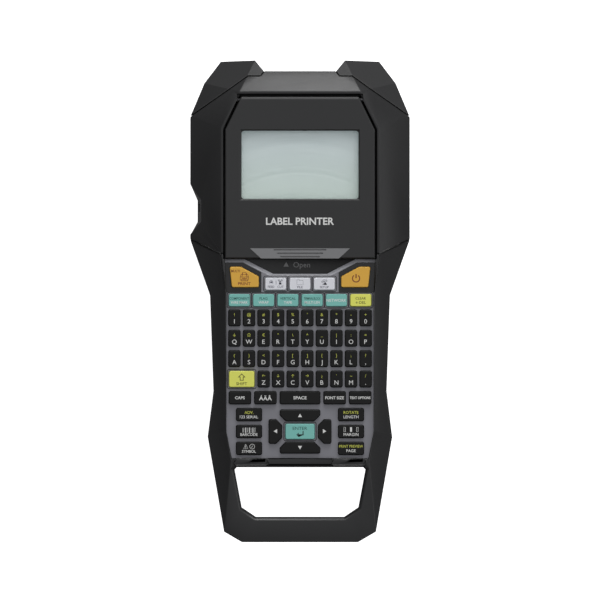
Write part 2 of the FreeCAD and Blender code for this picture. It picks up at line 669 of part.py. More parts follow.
def solid_frames():
    """What stays solid inside the front shell around the lid, the keypad and the sockets."""
    lid = prism(outset(LID, LID_GAP + WALL), Z_BAY_TOP, Z_FACE)
    keypad = prism(outset(BEZEL, WALL + 0.6), Z_KEYPAD_BOARD + BOARD_T, Z_FACE)
    recess = prism([(-RECESS_TOP, Y_LID + 2), (-RECESS_TOP, Y_WHITE_EDGE - 1),
                    (RECESS_TOP, Y_WHITE_EDGE - 1), (RECESS_TOP, Y_LID + 2)],
                   Z_RECESS - WALL, Z_FACE)
    sockets = block((SOCKET_FACE, SIDE), (FLAP_Y[0] - 4, FLAP_Y[1] + 4),
                    (FLAP_Z[0] - 3.0, FLAP_Z[1] + 4))
    return [lid, keypad, recess, sockets, SCOOP_BACKING]


def front_bosses():
    return [pin(x, y, BOSS_R, Z_SPLIT, top) for x, y, _, top in mirrored_places(SHELL_SCREWS)]


def rear_bosses():
    return [pin(x, y, BOSS_R, 0, Z_SPLIT) for x, y, _, _ in mirrored_places(SHELL_SCREWS)]


def screw_holes():
    """Clearance for each housing screw, with its head's counterbore from the back."""
    holes = []
    for x, y, seat, _ in mirrored_places(SHELL_SCREWS):
        holes.append(pin(x, y, SCREW_R + RUN_FIT, 0, SCREW_END + 1))
        holes.append(pin(x, y, SCREW_HEAD_R + SLIP, -1, seat))
    return holes


def hinge_pins(start):
    """The two stub pins from a place in the lid out to their ends in the shell."""
    return [Part.makeCylinder(PIN_R, PIN_END - start, Vector(side * start, *HINGE_AT),
                              Vector(side, 0, 0)) for side in (-1, 1)]


def flap_space():
    """The flap's seat in the side wall, its pin holes and the window for the sockets."""
    seat = block((SIDE - FLAP_T - SLIP, SIDE + 1), (FLAP_Y[0] - SLIP, FLAP_Y[1] + SLIP),
                 (FLAP_Z[0] - SLIP, FLAP_Z[1] + SLIP))
    window = block((SOCKET_FACE - 1, SIDE), (FLAP_Y[0] + 3.7, FLAP_Y[1] - 3.7),
                   (FLAP_Z[0] + 1.5, FLAP_Z[1] - 1.5))
    holes = Part.makeCylinder(FLAP_PIN_R + RUN_FIT, FLAP_Y[1] - FLAP_Y[0] + 4.0,
                              Vector(SIDE - FLAP_T / 2, FLAP_Y[0] - 2.0, FLAP_Z[0] + FLAP_T / 2),
                              Vector(0, 1, 0))
    return [seat, window, holes]


def loop_hollow(wall):
    """What lies inside the handle's loop, behind a wall of this thickness."""
    return grip(wall).cut(prism(outset(HAND_OPENING, wall), -1, REACH / 4))


LIP_END = BULGE[1] - 16
HANDLE = grip(0).cut(flared_opening())
CHANNEL = loop_hollow(WALL)
GRIP_ABOVE = block((-REACH, REACH), (-REACH, REACH), (Z_GRIP_SPLIT, REACH))


def bar_ribs():
    """Two round-ended ribs on the cross bar."""
    ribs = []
    for side in (-1, 1):
        middle = side * (SIDE - 35.9)
        outline = rectangle(middle, Y_BAR + 3.1, 20.6, 4.1)
        ribs.append(rounded(outline, 2.0, Z_FACE - 1, Z_FACE + 0.6))
    return ribs


def front_shell():
    solid = CASE.common(ABOVE)
    frames = solid_frames()
    hollow = INSIDE.cut(frames[0]).cut(frames[1]).cut(frames[2]).cut(frames[3]).cut(frames[4])
    bosses = [boss.common(hollow) for boss in front_bosses()]
    shell = solid.cut(hollow)
    shell = join([shell] + bosses + [HANDLE.common(GRIP_ABOVE).cut(CHANNEL)])
    cuts = lid_opening() + keypad_opening() + [finger_recess(), SCOOP, EXIT_SLOT]
    cuts += BUMPERS + GROOVES + screw_holes() + hinge_pins(LID_HALF - LID_CORNER_W) + flap_space()
    cuts += [pin(x, y, 0.9, Z_KEYPAD_BOARD, Z_KEYPAD_BOARD + 6) for x, y in
             mirrored_places(BOARD_SCREWS)]
    shell = shell.cut(cuts)
    return join([shell] + bar_ribs()).cut(flared_opening())


def rear_shell():
    solid = CASE.common(BELOW)
    door_frame = block((-DOOR_HALF - 4, DOOR_HALF + 4), (BACK_BEND, DOOR_END + 4),
                       (FOOT_H, FOOT_H + DOOR_FRAME_T))
    hollow = INSIDE.cut(SCOOP_BACKING).cut(door_frame)
    posts = [pin(x, y, POST_R, Z_INSIDE - 0.5, Z_PLATE - BOARD_T) for x, y in POSTS]
    bosses = [boss.common(INSIDE) for boss in rear_bosses()]
    shell = join([solid.cut(hollow)] + bosses + posts)
    cuts = BUMPERS + GROOVES + [SCOOP, EXIT_SLOT] + screw_holes() + door_space()
    cuts += [pin(x, y, FOOT_R, FOOT_H - 1, FOOT_H + 1.0) for x, y in mirrored_places(FEET)]
    return shell.cut(cuts)


def door_space():
    """The battery's opening in the back and the guides that the door slides in."""
    away = BACK_BEND - 30
    opening = block((-DOOR_HALF + 2, DOOR_HALF - 2), (BATTERY_LOW - 0.7, BATTERY_END + 0.5),
                    (-1, FOOT_H + DOOR_FRAME_T + 1))
    door = block((-DOOR_HALF - SLIP, DOOR_HALF + SLIP), (away, DOOR_END + SLIP),
                 (-1, FOOT_H + DOOR_T + SLIP))
    reach = DOOR_HALF + DOOR_TONGUE + SLIP
    guides = block((-reach, reach), (away, DOOR_END + SLIP),
                   (FOOT_H + DOOR_T / 2 - SLIP, FOOT_H + DOOR_T + SLIP))
    return [opening, door, guides]


def battery_door():
    plate = block((-DOOR_HALF, DOOR_HALF), (DOOR_LOW, DOOR_END), (FOOT_H, FOOT_H + DOOR_T))
    reach = DOOR_HALF + DOOR_TONGUE
    tongues = block((-reach, reach), (DOOR_LOW, DOOR_END),
                    (FOOT_H + DOOR_T / 2, FOOT_H + DOOR_T))
    ridges = [block((-10, 10), (DOOR_LOW + 6 + 3 * i, DOOR_LOW + 7.2 + 3 * i),
                    (FOOT_H - 0.6, FOOT_H)) for i in range(4)]
    return join([plate, tongues] + ridges)


def corner_bumper():
    """The left bumper: a thick soft corner, from its seam out to the head's corner."""
    solid = head(0, Y_END + BUMPER_RISE).common(prism(LEFT_SEAM, BUMPER_LOW, REACH / 4))
    return solid.cut(GROOVES[0])


def handle_grip():
    """The rear half of the handle's loop, with a lip that locates it in the front half."""
    core = loop_hollow(WALL + LIP_T)
    root = block((-REACH, REACH), (-REACH, LIP_END), (Z_GRIP_SPLIT - LIP_ROOT, Z_GRIP_SPLIT))
    above = block((-REACH, REACH), (-REACH, LIP_END),
                  (Z_GRIP_SPLIT - LIP_ROOT, Z_GRIP_SPLIT + LIP_H))
    return join([HANDLE.cut(GRIP_ABOVE).cut(CHANNEL), CHANNEL.cut(core).common(root),
                 loop_hollow(WALL + SLIP).cut(core).common(above)])


def display_lid():
    """The lid's outer cover: a rounded hinge edge, a window and a seat for the grip tab."""
    solid = prism(LID, Z_LID, Z_FACE)
    y, z = HINGE_AT
    edge = block((-REACH, REACH), (y, y + 10), (z, z + 10))
    barrel = Part.makeCylinder(HINGE_R, REACH, Vector(-REACH / 2, y, z), Vector(1, 0, 0))
    solid = solid.cut(edge.cut(barrel))
    rim = [e for e in solid.Edges if min(v.Z for v in e.Vertexes) > Z_FACE - TINY
           and min(v.Y for v in e.Vertexes) < y - 1]
    solid = solid.makeFillet(LID_EDGE_R, rim)
    hollow = outset(LID, -LID_SKIN)
    hollow[0] = (hollow[0][0] - 1.5, Y_HINGE_END - KNUCKLE_L)
    hollow[-1] = (-hollow[0][0], Y_HINGE_END - KNUCKLE_L)
    cuts = [prism(hollow, Z_LID - 1, Z_FACE - LID_SKIN)]
    cuts.append(Part.makeCylinder(PIN_R + RUN_FIT, REACH, Vector(-REACH / 2, y, z),
                                  Vector(1, 0, 0)).cut(
        block((-(LID_HALF - 18), LID_HALF - 18), (-REACH, REACH), (-REACH, REACH))))
    cuts += [window_hole(), tab_seat(0.1)]
    return solid.cut(cuts)


def window_outline(grow):
    half = LID_HALF - WINDOW_SIDE + grow
    top = Y_HINGE_END - WINDOW_HEAD + grow
    low = Y_HINGE_END - WINDOW_HEAD - WINDOW_L - grow
    return [(-half, top), (-half, low), (half, low), (half, top)]


def window_hole():
    """The window's hole, with its edge broken towards the face."""
    hole = rounded(window_outline(0), WINDOW_R, Z_FACE - LID_SKIN - 1, Z_FACE + 1)
    rings = []
    for grow, z in ((0, Z_FACE - 0.8), (1.2, Z_FACE + 0.4)):
        corners = [Vector(x, py, z) for x, py in window_outline(grow)]
        rings.append(Part.makePolygon(corners + corners[:1]))
    return hole.fuse(Part.makeLoft(rings, True, True))


def tab_outline(grow):
    low = Y_LID - 0.4 + LID_END_GAP
    return outset([(-TAB_HALF_TOP, Y_LID + TAB_L), (-TAB_HALF_LOW, low), (TAB_HALF_LOW, low),
                   (TAB_HALF_TOP, Y_LID + TAB_L)], grow)


def tab_seat(grow):
    return prism(tab_outline(grow), Z_FACE - TAB_T + 0.6, Z_FACE + 1)


def lid_grip_tab():
    """The ribbed tab that a finger lifts the lid by."""
    tab = prism(tab_outline(0), Z_FACE - TAB_T + 0.6, Z_FACE + 0.2)
    for place, half in ((5.1, 15.4), (3.0, 13.5), (1.0, 11.6)):
        tab = tab.cut(block((-half, half), (Y_LID + place - 0.45, Y_LID + place + 0.45),
                            (Z_FACE - 0.7, Z_FACE + 1)))
    return tab


def lid_inner_cover():
    """The plate that closes the lid from below, with a rib that presses on the cassette."""
    outline = outset(LID, -LID_SKIN - COVER_FIT)
    outline[0] = (outline[0][0] - 1.5, Y_HINGE_END - KNUCKLE_L - COVER_FIT)
    outline[-1] = (-outline[0][0], Y_HINGE_END - KNUCKLE_L - COVER_FIT)
    plate = prism(outline, Z_LID, Z_LID + 1.5)
    ribs = [block((-20, 20), (y, y + 1.5), (Z_LID - 2.0, Z_LID)) for y in
            (Y_LID + 22, Y_LID + 46)]
    return join([plate] + ribs)


def lcd_window():
    half = LID_HALF - WINDOW_SIDE + WINDOW_LAP
    top = Z_FACE - LID_SKIN
    y = (Y_HINGE_END - WINDOW_HEAD + WINDOW_LAP, Y_HINGE_END - WINDOW_HEAD - WINDOW_L - WINDOW_LAP)
    return block((-half, half), (y[1], y[0]), (top - WINDOW_T, top))


def lcd_module():
    half = LID_HALF - WINDOW_SIDE + 4.0
    top = Z_FACE - LID_SKIN - WINDOW_T
    y = (Y_HINGE_END - WINDOW_HEAD - WINDOW_L - 5.0, Y_HINGE_END - WINDOW_HEAD + 3.5)
    glass = block((-half, half), y, (top - 2.0, top))
    board = block((-half - 1, half + 1), (y[0] - 2.5, y[1]), (top - MODULE_T, top - 2.0))
    return join([glass, board])


def lid_hinge_pins():
    return Part.makeCompound(hinge_pins(LID_HALF - 15.0))


def keypad_bezel():
    """The grey plate, with a sloped rim towards the lid and a hole for every key."""
    plate = prism(BEZEL, Z_BEZEL_LOW, Z_BEZEL)
    rim = [e for e in plate.Edges if min(v.Z for v in e.Vertexes) > Z_BEZEL - TINY
           and min(v.Y for v in e.Vertexes) > Y_WHITE_EDGE - TINY]
    plate = plate.makeChamfer(BEZEL_CHAMFER, rim)
    holes = []
    for outlines in KEYS.values():
        for outline in outlines:
            holes.append(rounded(outset(outline, KEY_CLEAR), KEY_CORNER_R + KEY_CLEAR,
                                 Z_BEZEL_LOW - 1, Z_BEZEL + 1))
    left = prism(surround_outline(), Z_BEZEL - SURROUND_T, Z_BEZEL + 1)
    plate = plate.cut(holes)
    return plate.cut([left, mirror(left)])


def key_surround():
    """The left-hand dark surround, with the print key's hole."""
    plate = prism(surround_outline(), Z_BEZEL - SURROUND_T, Z_BEZEL + SURROUND_PROUD)
    outline = KEYS["print_key"][0]
    return plate.cut(rounded(outset(outline, KEY_CLEAR), KEY_CORNER_R + KEY_CLEAR,
                             Z_BEZEL - 4, Z_BEZEL + 3))


def keycap(outline):
    """One key: a rounded cap with a flange below the bezel."""
    cap = rounded(outline, KEY_CORNER_R, Z_KEY_LOW, Z_KEY)
    rim = [e for e in cap.Edges if min(v.Z for v in e.Vertexes) > Z_KEY - TINY]
    cap = cap.makeFillet(KEY_EDGE_R, rim)
    flange = rounded(outset(outline, FLANGE_OUT), KEY_CORNER_R, Z_KEY_LOW, Z_KEY_LOW + FLANGE_T)
    return join([cap, flange])


def keypad_mat():
    """The soft sheet under the keys."""
    return prism(outset(BEZEL, -1.1), Z_KEYPAD_BOARD + BOARD_T, Z_MAT)


def keypad_board():
    board = prism(outset(BEZEL, WALL + 0.2), Z_KEYPAD_BOARD, Z_KEYPAD_BOARD + BOARD_T)
    board = board.common(case(WALL + SLIP)).common(
        block((-REACH, REACH), (-REACH, Y_LID - LID_GAP - WALL - SLIP), (-REACH, REACH)))
    return board.cut([pin(x, y, 0.95, 0, Z_FACE) for x, y in mirrored_places(BOARD_SCREWS)])


def board_screws():
    low = Z_KEYPAD_BOARD
    return Part.makeCompound([join([pin(x, y, 0.85, low, low + 5), pin(x, y, 1.6, low - 1, low)])
                              for x, y in mirrored_places(BOARD_SCREWS)])


def main_board():
    half = KEYPAD_HALF - 9.0
    low = Z_MAIN_BOARD
    board = block((-half, half), (ROWS["caps"] - 14, ROWS["white"] + 4), (low, low + BOARD_T))
    chips = [block((-9, 7), (-28, -12), (low + BOARD_T, low + BOARD_T + 1.8)),
             block((12, 24), (-20, -12), (low + BOARD_T, low + BOARD_T + 1.4)),
             block((-26, -16), (-10, -2), (low + BOARD_T, low + BOARD_T + 2.2))]
    return join([board] + chips)


def board_spacers():
    return Part.makeCompound([pin(x, y, 2.2, Z_MAIN_BOARD + BOARD_T, Z_KEYPAD_BOARD)
                              for x, y in mirrored_places(SPACERS)])


def bay_tray():
    """The open-topped tray that a label cassette drops into."""
    outer = prism(outset(LID, -1.5), BAY_FLOOR_Z, Z_BAY_TOP)
    hollow = prism(outset(LID, -1.5 - BAY_WALL), Z_BAY, Z_BAY_TOP + 1)
    holes = [pin(*PLATEN_AT, PLATEN_SHAFT_R + SLIP, 0, Z_FACE),
             pin(*SPINDLE_AT, SPINDLE_SHAFT_R + RUN_FIT, 0, Z_FACE)]
    slot = block((-SIDE, -LID_HALF + 9), (LABEL_Y - EXIT_W / 2, LABEL_Y + EXIT_W / 2),
                 (Z_BAY + 0.5, LABEL_TOP + 1))
    return outer.cut([hollow, slot] + holes)


def print_chassis():
    """The steel bracket that holds the platen's ends and the print head's springs."""
    x = (PLATEN_AT[0] - 5.5, PLATEN_AT[0] + 7.0)
    y = (LABEL_Y - 9.0, PLATEN_AT[1] + 5.5)
    base = block(x, y, (Z_BAY, Z_BAY + BRACKET_T))
    top = block(x, y, (Z_BRACKET_TOP, Z_BRACKET_TOP + BRACKET_T))
    back = block(x, (y[0], y[0] + BRACKET_T), (Z_BAY, Z_BRACKET_TOP + BRACKET_T))
    bore = pin(*PLATEN_AT, PLATEN_SHAFT_R + RUN_FIT, 0, Z_FACE)
    return join([base, top, back]).cut(bore)


def print_head():
    """The finned heat sink with the heater strip on the side that faces the platen."""
    x = (PLATEN_AT[0] - 4.5, PLATEN_AT[0] + 5.5)
    face = LABEL_Y - LABEL_GAP / 2
    z = (Z_BAY + BRACKET_T + 0.6, Z_BRACKET_TOP - 0.6)
    body = block(x, (face - 3.6, face), z)
    slots = [block((x[0] + 1.2 + 2.2 * i, x[0] + 2.2 + 2.2 * i), (face - 4, face - 1.6),
                   (z[0] - 1, z[1] + 1)) for i in range(4)]
    return body.cut(slots)


def head_springs():
    """Two coil springs that press the head on the platen."""
    face = LABEL_Y - LABEL_GAP / 2
    start = LABEL_Y - 9.0 + BRACKET_T
    wire_r, coil_r = 0.3, 1.6
    length = face - 3.6 - start - 2 * wire_r
    springs = []
    for z in (Z_BAY + 7.0, Z_BRACKET_TOP - 7.0):
        path = Part.makeHelix(length / 3, length, coil_r)
        ring = Part.Wire(Part.makeCircle(wire_r, Vector(coil_r, 0, 0), Vector(0, 1, 0)))
        coil = Part.Wire(path).makePipeShell([ring], True, True)
        place = Vector(PLATEN_AT[0] + 0.5, start + wire_r, z)
        coil.Placement = FreeCAD.Placement(place, FreeCAD.Rotation(Vector(1, 0, 0), -90))
        springs.append(coil)
    return Part.makeCompound(springs)


def platen_roller():
    low, high = Z_BAY + BRACKET_T + 0.5, Z_BRACKET_TOP - 0.5
    return pin(*PLATEN_AT, PLATEN_R, low, high).cut(pin(*PLATEN_AT, PLATEN_SHAFT_R, 0, Z_FACE))


def platen_shaft():
    low = Z_PLATE - BOARD_T + 0.2
    return pin(*PLATEN_AT, PLATEN_SHAFT_R, low, Z_BRACKET_TOP + BRACKET_T + 1.0)


def ribbon_spindle():
    """The splined spindle that winds the used ribbon."""
    shaft = pin(*SPINDLE_AT, SPINDLE_SHAFT_R, Z_PLATE - BOARD_T + 0.2, Z_BAY + 1)
    post = pin(*SPINDLE_AT, SPINDLE_R, Z_BAY + SLIP, Z_BAY + 16)
    splines = []
    for i in range(6):
        spline = block((0, SPINDLE_R + 0.8), (-0.5, 0.5), (Z_BAY + SLIP, Z_BAY + 14))
        spline.Placement = FreeCAD.Placement(at(SPINDLE_AT, 0),
                                             FreeCAD.Rotation(Vector(0, 0, 1), 60 * i))
        splines.append(spline)
    return join([shaft, post] + splines)


def tooth_flank(pitch_r, teeth):
    """Radius and half angle along one involute flank, from its root to its tip."""
    base_r = pitch_r * math.cos(PRESSURE_ANGLE)
    half_pitch = math.pi / (2 * teeth) - BACKLASH / (2 * pitch_r)
    whole = half_pitch + math.tan(PRESSURE_ANGLE) - PRESSURE_ANGLE
    start = max(base_r, pitch_r - 0.9 * MODULE)
    tip_r = pitch_r + 0.8 * MODULE
    flank = []
    for i in range(5):
        radius = start + (tip_r - start) * i / 4
        roll = math.sqrt(max((radius / base_r) ** 2 - 1, 0))
        flank.append((radius, whole - (roll - math.atan(roll))))
    return flank


def gear(teeth, place, phase, bore_r):
    """A spur gear with one tooth's middle at the phase angle."""
    pitch_r = MODULE * teeth / 2
    flank = tooth_flank(pitch_r, teeth)
    root_r = pitch_r - 1.05 * MODULE
    outline = []
    for i in range(teeth):
        middle = phase + 2 * math.pi * i / teeth
        side = [(root_r, flank[0][1])] + flank
        for radius, half in side:
            outline.append((radius, middle - half))
        for radius, half in reversed(side):
            outline.append((radius, middle + half))
    points = [(place[0] + r * math.cos(a), place[1] + r * math.sin(a)) for r, a in outline]
    return prism(points, Z_GEARS, Z_GEARS + GEAR_T).cut(pin(*place, bore_r, 0, Z_FACE))


def mesh_phase(turn_degrees, teeth):
    """Phase of a gear that meshes with the idler in a direction from the idler."""
    turn = math.radians(turn_degrees)
    past_tooth = turn * IDLER_TEETH / (2 * math.pi) % 1
    return turn + math.pi + (past_tooth + 0.5) * 2 * math.pi / teeth


def platen_gear():
    return gear(PLATEN_TEETH, PLATEN_AT, mesh_phase(IDLER_TURN + 180, PLATEN_TEETH),
                PLATEN_SHAFT_R)


def spindle_gear():
    return gear(SPINDLE_TEETH, SPINDLE_AT, mesh_phase(SPINDLE_TURN, SPINDLE_TEETH),
                SPINDLE_SHAFT_R)


def idler_gear():
    return gear(IDLER_TEETH, IDLER_AT, 0, AXLE_R + RUN_FIT)


def motor_pinion():
    wheel = gear(PINION_TEETH, PINION_AT, mesh_phase(PINION_TURN, PINION_TEETH), MOTOR_SHAFT_R)
    return join([wheel, pin(*PINION_AT, MOTOR_SHAFT_R, Z_PLATE - BOARD_T - 6, Z_GEARS + GEAR_T)])


def drive_plate():
    """The steel plate that carries the motor, the axle and the lower shaft bearings."""
    corners = [(PLATEN_AT[0] - 9, PLATEN_AT[1] + 19), (PLATEN_AT[0] - 9, PLATEN_AT[1] - 4),
               (PINION_AT[0] - 12, PINION_AT[1] - 11), (SPINDLE_AT[0] + 15, PINION_AT[1] - 11),
               (SPINDLE_AT[0] + 15, SPINDLE_AT[1] + 18), (SPINDLE_AT[0] - 14, SPINDLE_AT[1] + 18)]
    plate = prism(corners, Z_PLATE - BOARD_T, Z_PLATE)
    bores = [pin(*PLATEN_AT, PLATEN_SHAFT_R + RUN_FIT, 0, Z_FACE),
             pin(*SPINDLE_AT, SPINDLE_SHAFT_R + RUN_FIT, 0, Z_FACE),
             pin(*PINION_AT, MOTOR_SHAFT_R + SLIP, 0, Z_FACE),
             pin(*IDLER_AT, AXLE_R, 0, Z_FACE)]
    return plate.cut(bores)


def idler_axle():
    axle = pin(*IDLER_AT, AXLE_R, Z_PLATE - BOARD_T, Z_GEARS + GEAR_T + 0.3)
    return join([axle, pin(*IDLER_AT, AXLE_R + 1, Z_PLATE - BOARD_T - 1, Z_PLATE - BOARD_T)])


def feed_motor():
    top = Z_PLATE - BOARD_T
    can = pin(*PINION_AT, MOTOR_R, Z_INSIDE + 0.4, top)
    return can.cut(pin(*PINION_AT, MOTOR_SHAFT_R + RUN_FIT, top - 6.2, top + 1))


CUTTER_X = -SIDE + SCOOP_BACK + WALL
CUTTER_Y = LABEL_Y - 9.5
BLADE_IN = 1.6
BLADE_T = 0.8
BLADE_Z = (Z_BAY + 0.6, LABEL_TOP + 1.4)
RAIL_T = 1.2


def cutter_frame():
    """The post beside the exit that holds the fixed blade and guides the moving one."""
    x = CUTTER_X
    low, high = Z_BAY - 1.0, LABEL_TOP + 3
    post = block((x, x + 5.6), (LABEL_Y - 14, CUTTER_Y), (low, high))
    rails = [block((x + 1.4, x + 4.8), (CUTTER_Y, LABEL_Y + 12), z) for z in
             ((low, low + RAIL_T), (high - RAIL_T, high))]
    return join([post] + rails)


def fixed_blade():
    x = CUTTER_X + BLADE_IN
    return block((x, x + BLADE_T), (CUTTER_Y, LABEL_Y - 1.5), BLADE_Z)


def cutter_blade():
    """The sliding blade with a sharpened edge towards the label."""
    x = CUTTER_X + BLADE_IN + BLADE_T + SLIP
    edge = LABEL_Y + 2.0
    back = edge + 8.0
    outline = [(x, edge), (x + 0.9, edge + 1.8), (x + 0.9, back), (x, back)]
    return prism(outline, *BLADE_Z)


def battery_pack():
    """Two round cells side by side in a shrink sleeve."""
    radius = BATTERY_T / 2
    low = Z_INSIDE + 0.4
    half = DOOR_HALF - 2.5
    middles = (BATTERY_LOW + radius, BATTERY_END - radius)
    cells = [Part.makeCylinder(radius, 2 * half, Vector(-half, y, low + radius), Vector(1, 0, 0))
             for y in middles]
    web = block((-half, half), middles, (low + 0.8, low + BATTERY_T - 0.8))
    return join(cells + [web])


CONTACT_X = 16.0
CONTACT_HALF = 3.0
CONTACT_T = 0.4
CONTACT_H = 12.0


def battery_contacts():
    """Two spring strips that press on the battery's end."""
    base = FOOT_H + DOOR_FRAME_T
    y = BATTERY_END + 0.1
    strips = []
    for x in (-CONTACT_X, CONTACT_X):
        foot = block((x - CONTACT_HALF, x + CONTACT_HALF), (y, y + 3.9), (base, base + CONTACT_T))
        leaf = block((x - CONTACT_HALF, x + CONTACT_HALF), (y, y + CONTACT_T),
                     (base, base + CONTACT_H))
        strips.append(join([foot, leaf]))
    return Part.makeCompound(strips)


def port_block():
    """The charging and data sockets behind the flap."""
    y = (FLAP_Y[0] + 4.0, FLAP_Y[1] - 4.0)
    z = (FLAP_Z[0] + 1.8, FLAP_Z[1] - 1.8)
    face = SIDE - FLAP_T - SLIP - 0.6
    body = block((SOCKET_FACE - 6, face), y, z)
    flange = block((SOCKET_FACE - 2, SOCKET_FACE), (y[0] - 2, y[1] + 2), (z[0] - 1.5, z[1] + 1.5))
    middle = (z[0] + z[1]) / 2
    usb = block((face - 8, face + 1), (y[0] + 1.5, y[0] + 10.5), (middle - 1.7, middle + 1.7))
    jack = Part.makeCylinder(JACK_R, 9, Vector(face - 8, y[1] - 4.4, middle), Vector(1, 0, 0))
    return join([body, flange]).cut([usb, jack])


def port_cover():
    """The flap over the sockets, hinged on two stub pins along its back edge."""
    radius = FLAP_T / 2
    x, z = SIDE - radius, FLAP_Z[0] + radius
    plate = block((SIDE - FLAP_T, SIDE), FLAP_Y, (z, FLAP_Z[1]))
    barrel = Part.makeCylinder(radius, FLAP_Y[1] - FLAP_Y[0], Vector(x, FLAP_Y[0], z),
                               Vector(0, 1, 0))
    pins = Part.makeCylinder(FLAP_PIN_R, FLAP_Y[1] - FLAP_Y[0] + 3.4,
                             Vector(x, FLAP_Y[0] - 1.7, z), Vector(0, 1, 0))
    nail = block((SIDE - 0.6, SIDE + 1), (FLAP_Y[0] + 11, FLAP_Y[1] - 11),
                 (FLAP_Z[1] - 1.2, FLAP_Z[1] + 1))
    return join([plate, barrel, pins]).cut(nail)


def housing_screws():
    screws = []
    for x, y, seat, _ in mirrored_places(SHELL_SCREWS):
        head_solid = pin(x, y, SCREW_HEAD_R, seat - SCREW_HEAD_T, seat)
        end = seat - SCREW_HEAD_T
        slot = block((x - 2, x + 2), (y - 0.4, y + 0.4), (end - 1, end + 1))
        screws.append(join([head_solid, pin(x, y, SCREW_R, seat, SCREW_END)]).cut(slot))
    return Part.makeCompound(screws)


def rubber_feet():
    feet = []
    for x, y in mirrored_places(FEET):
        foot = pin(x, y, FOOT_R - 0.1, 0, FOOT_H + 1.0)
        rim = [e for e in foot.Edges if max(v.Z for v in e.Vertexes) < TINY]
        feet.append(foot.makeFillet(0.8, rim))
    return Part.makeCompound(feet)


def build():
    """Every sub-part by the name of its node."""
    bumper = corner_bumper()
    surround = key_surround()
    nodes = {
        "front_shell": front_shell(), "rear_shell": rear_shell(),
        "corner_bumper_left": bumper, "corner_bumper_right": mirror(bumper),
        "handle_grip": handle_grip(), "housing_screws": housing_screws(),
        "rubber_feet": rubber_feet(), "display_lid": display_lid(),
        "lid_inner_cover": lid_inner_cover(), "lid_grip_tab": lid_grip_tab(),
        "lcd_window": lcd_window(), "lcd_module": lcd_module(),
        "lid_hinge_pins": lid_hinge_pins(), "keypad_bezel": keypad_bezel(),
        "key_surrounds": Part.makeCompound([surround, mirror(surround)]),
        "keypad_mat": keypad_mat(), "keypad_board": keypad_board(),
        "board_screws": board_screws(), "main_board": main_board(),
        "board_spacers": board_spacers(), "bay_tray": bay_tray(),
        "print_chassis": print_chassis(), "print_head": print_head(),
        "head_springs": head_springs(), "platen_roller": platen_roller(),
        "platen_shaft": platen_shaft(), "platen_gear": platen_gear(),
        "ribbon_spindle": ribbon_spindle(), "spindle_gear": spindle_gear(),
        "idler_gear": idler_gear(), "idler_axle": idler_axle(),
        "motor_pinion": motor_pinion(), "feed_motor": feed_motor(),
        "drive_plate": drive_plate(), "cutter_frame": cutter_frame(),
        "fixed_blade": fixed_blade(), "cutter_blade": cutter_blade(),
        "battery_pack": battery_pack(), "battery_contacts": battery_contacts(),
        "battery_door": battery_door(), "port_block": port_block(), "port_cover": port_cover(),
    }
    for name, outlines in KEYS.items():
        caps = [keycap(outline) for outline in outlines]
        nodes[name] = caps[0] if len(caps) == 1 else Part.makeCompound(caps)
    return nodes


os.makedirs("parts", exist_ok=True)
for node, shape in build().items():
    shape.exportStep("parts/" + node + ".step")
    print(node, "solids", len(shape.Solids), "valid", shape.isValid(), "mm3", round(shape.Volume))
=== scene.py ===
import json
import math
import bpy
from mathutils import Matrix, Vector

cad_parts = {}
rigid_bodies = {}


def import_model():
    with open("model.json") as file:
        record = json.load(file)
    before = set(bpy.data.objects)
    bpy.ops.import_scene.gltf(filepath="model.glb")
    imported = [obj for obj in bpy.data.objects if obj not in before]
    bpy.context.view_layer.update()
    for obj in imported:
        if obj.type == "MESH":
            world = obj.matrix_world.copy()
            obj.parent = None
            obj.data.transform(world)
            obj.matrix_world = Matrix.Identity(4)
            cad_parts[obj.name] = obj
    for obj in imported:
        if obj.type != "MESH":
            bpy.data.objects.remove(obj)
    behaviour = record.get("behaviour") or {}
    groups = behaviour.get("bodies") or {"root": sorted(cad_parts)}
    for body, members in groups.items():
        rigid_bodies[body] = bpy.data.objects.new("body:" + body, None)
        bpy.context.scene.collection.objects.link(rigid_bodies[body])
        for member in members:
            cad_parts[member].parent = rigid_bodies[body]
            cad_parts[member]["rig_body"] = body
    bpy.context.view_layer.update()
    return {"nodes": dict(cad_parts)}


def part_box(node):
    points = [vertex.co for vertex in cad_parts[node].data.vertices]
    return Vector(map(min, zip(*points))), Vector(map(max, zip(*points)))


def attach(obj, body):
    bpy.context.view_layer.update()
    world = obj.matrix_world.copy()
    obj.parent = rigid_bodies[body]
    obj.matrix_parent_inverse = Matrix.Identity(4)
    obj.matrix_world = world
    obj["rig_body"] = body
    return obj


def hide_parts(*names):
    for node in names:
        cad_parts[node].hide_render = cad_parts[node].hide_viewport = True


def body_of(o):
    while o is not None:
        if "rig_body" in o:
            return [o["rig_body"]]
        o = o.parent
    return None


# The label maker lies on its back: X across it, Y from the handle to the head, Z up
# through the keys. The sizes below are metres, as in the frame that it is built on.
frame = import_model()
bpy.ops.object.select_all(action="DESELECT")
node = frame["nodes"]

